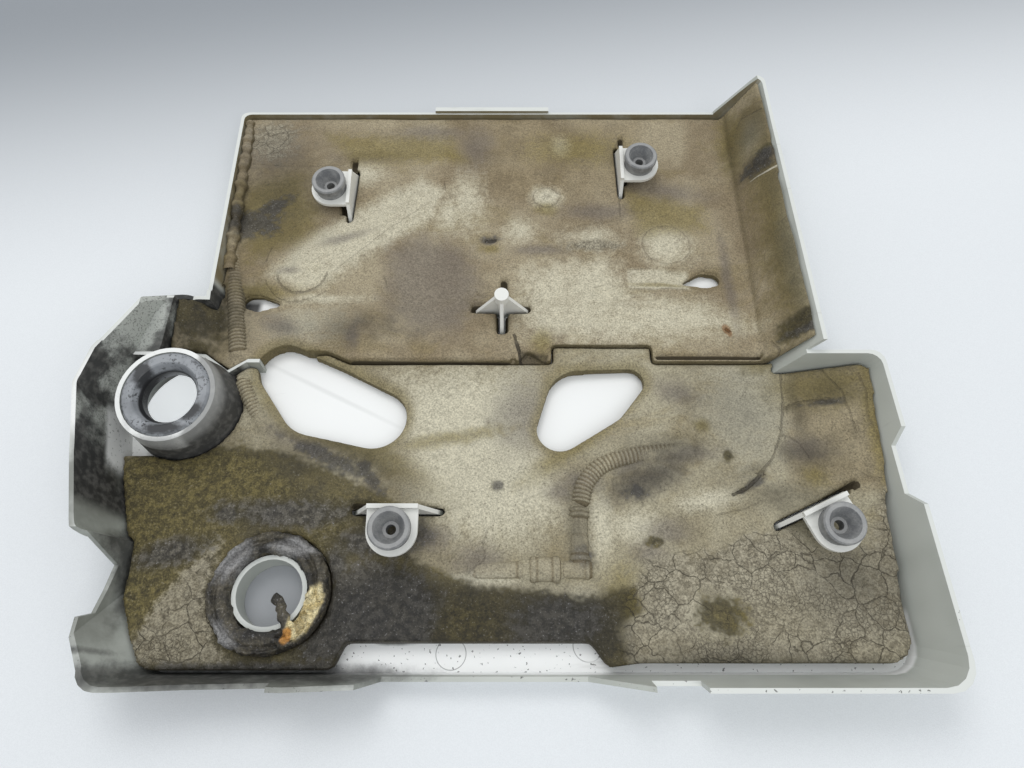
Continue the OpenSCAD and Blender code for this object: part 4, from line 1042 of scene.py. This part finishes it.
# %% The curl that hangs into the hole
curl = swept("collar_curl", [(-123, -224, 19.5), (-125.5, -217, 23.5), (-129, -210.5, 23.4),
                             (-132, -205, 22.0), (-134.6, -200.4, 20.6), (-138.5, -197, 19.0)],
             lambda s, total: 4.3 - 1.3 * s / total + 0.5 * math.sin(s * 0.9), step=0.8, around=18,
             flat=0.55, whole=True)
co = corners(curl)
co += np.array([Vector(noise.noise_vector(Vector(q) * 260.0)) for q in co]) * 0.0011
set_corners(curl, co)
wear(curl, oily_foam)
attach(curl, "root")
print("collar and curl made")

# %% [markdown]
# ## Ground and light
# The picture was taken on a pale grey ground under soft light from above and behind. A large plane
# takes the shadow, a pale world fills in from all sides, one wide soft lamp at the back gives a
# direction, and a weaker one lights the front.
# %% Ground
def ground_finish():
    made = material("pale_ground")
    x, y = axis("X"), axis("Y")
    back = (y * 1.0 + x * -0.2).between(0.10, 0.55)
    tone = blend(back, (0.765, 0.79, 0.81), (0.265, 0.285, 0.31))
    # painted shadow: the ground under the dipstick hole is darker, as if the cover shades it
    tone = blend(far_from(*HOLE, 44, 44).between(1.0, 0.8) * 0.85, tone, (0.30, 0.31, 0.33))
    tone = blend(grain(1500.0, 2.0).between(0.35, 0.65) * 0.10, tone, (0.40, 0.42, 0.44))
    dress(made, Base_Color=tone, Roughness=0.9, Normal=bump(grain(1400.0, 2.0), 0.25, 0.0004))
    # painted light: the ground inside the filler throat glows bright, for camera, mirror and see-through
    # rays only
    path = [Sock.node("LightPath", out=name)
            for name in ("Is Camera Ray", "Is Glossy Ray", "Is Transmission Ray")]
    throat = far_from(-247, -44, 24, 26).between(1.05, 0.95) * x.between(-0.268, -0.264)
    dress(made, Emission_Color=blend(throat * path[0].most(path[1]).most(path[2]), (0, 0, 0),
                                     (0.58, 0.605, 0.615)), Emission_Strength=1.0)
    return made


mesh = bpy.data.meshes.new("ground")
mesh.from_pydata([(-40, -40, -0.0004), (40, -40, -0.0004), (40, 40, -0.0004), (-40, 40, -0.0004)], [],
                 [(0, 1, 2, 3)])
ground = bpy.data.objects.new("ground", mesh)
bpy.context.scene.collection.objects.link(ground)
wear(ground, ground_finish())
print("ground laid")

# %% Light
world = bpy.data.worlds.new("studio")
world.use_nodes = True
world.node_tree.nodes["Background"].inputs["Color"].default_value = (0.95, 0.975, 1.0, 1.0)
world.node_tree.nodes["Background"].inputs["Strength"].default_value = 0.76
bpy.context.scene.world = world


def lamp(name, at, size, power, colour):
    data = bpy.data.lights.new(name, "AREA")
    data.shape = "RECTANGLE"
    data.size, data.size_y = size
    data.energy = power
    data.color = colour
    made = bpy.data.objects.new(name, data)
    made.location = at
    made.rotation_euler = (-Vector(at)).to_track_quat("-Z", "Y").to_euler()
    bpy.context.scene.collection.objects.link(made)


lamp("soft_window", (-0.5, 1.0, 2.2), (1.5, 1.2), 17.0, (1.0, 0.99, 0.97))
lamp("fill_front", (0.9, -1.4, 1.9), (1.6, 1.6), 13.0, (0.97, 0.985, 1.0))
bpy.context.scene.view_settings.view_transform = "Standard"
print("two lamps and a pale world")
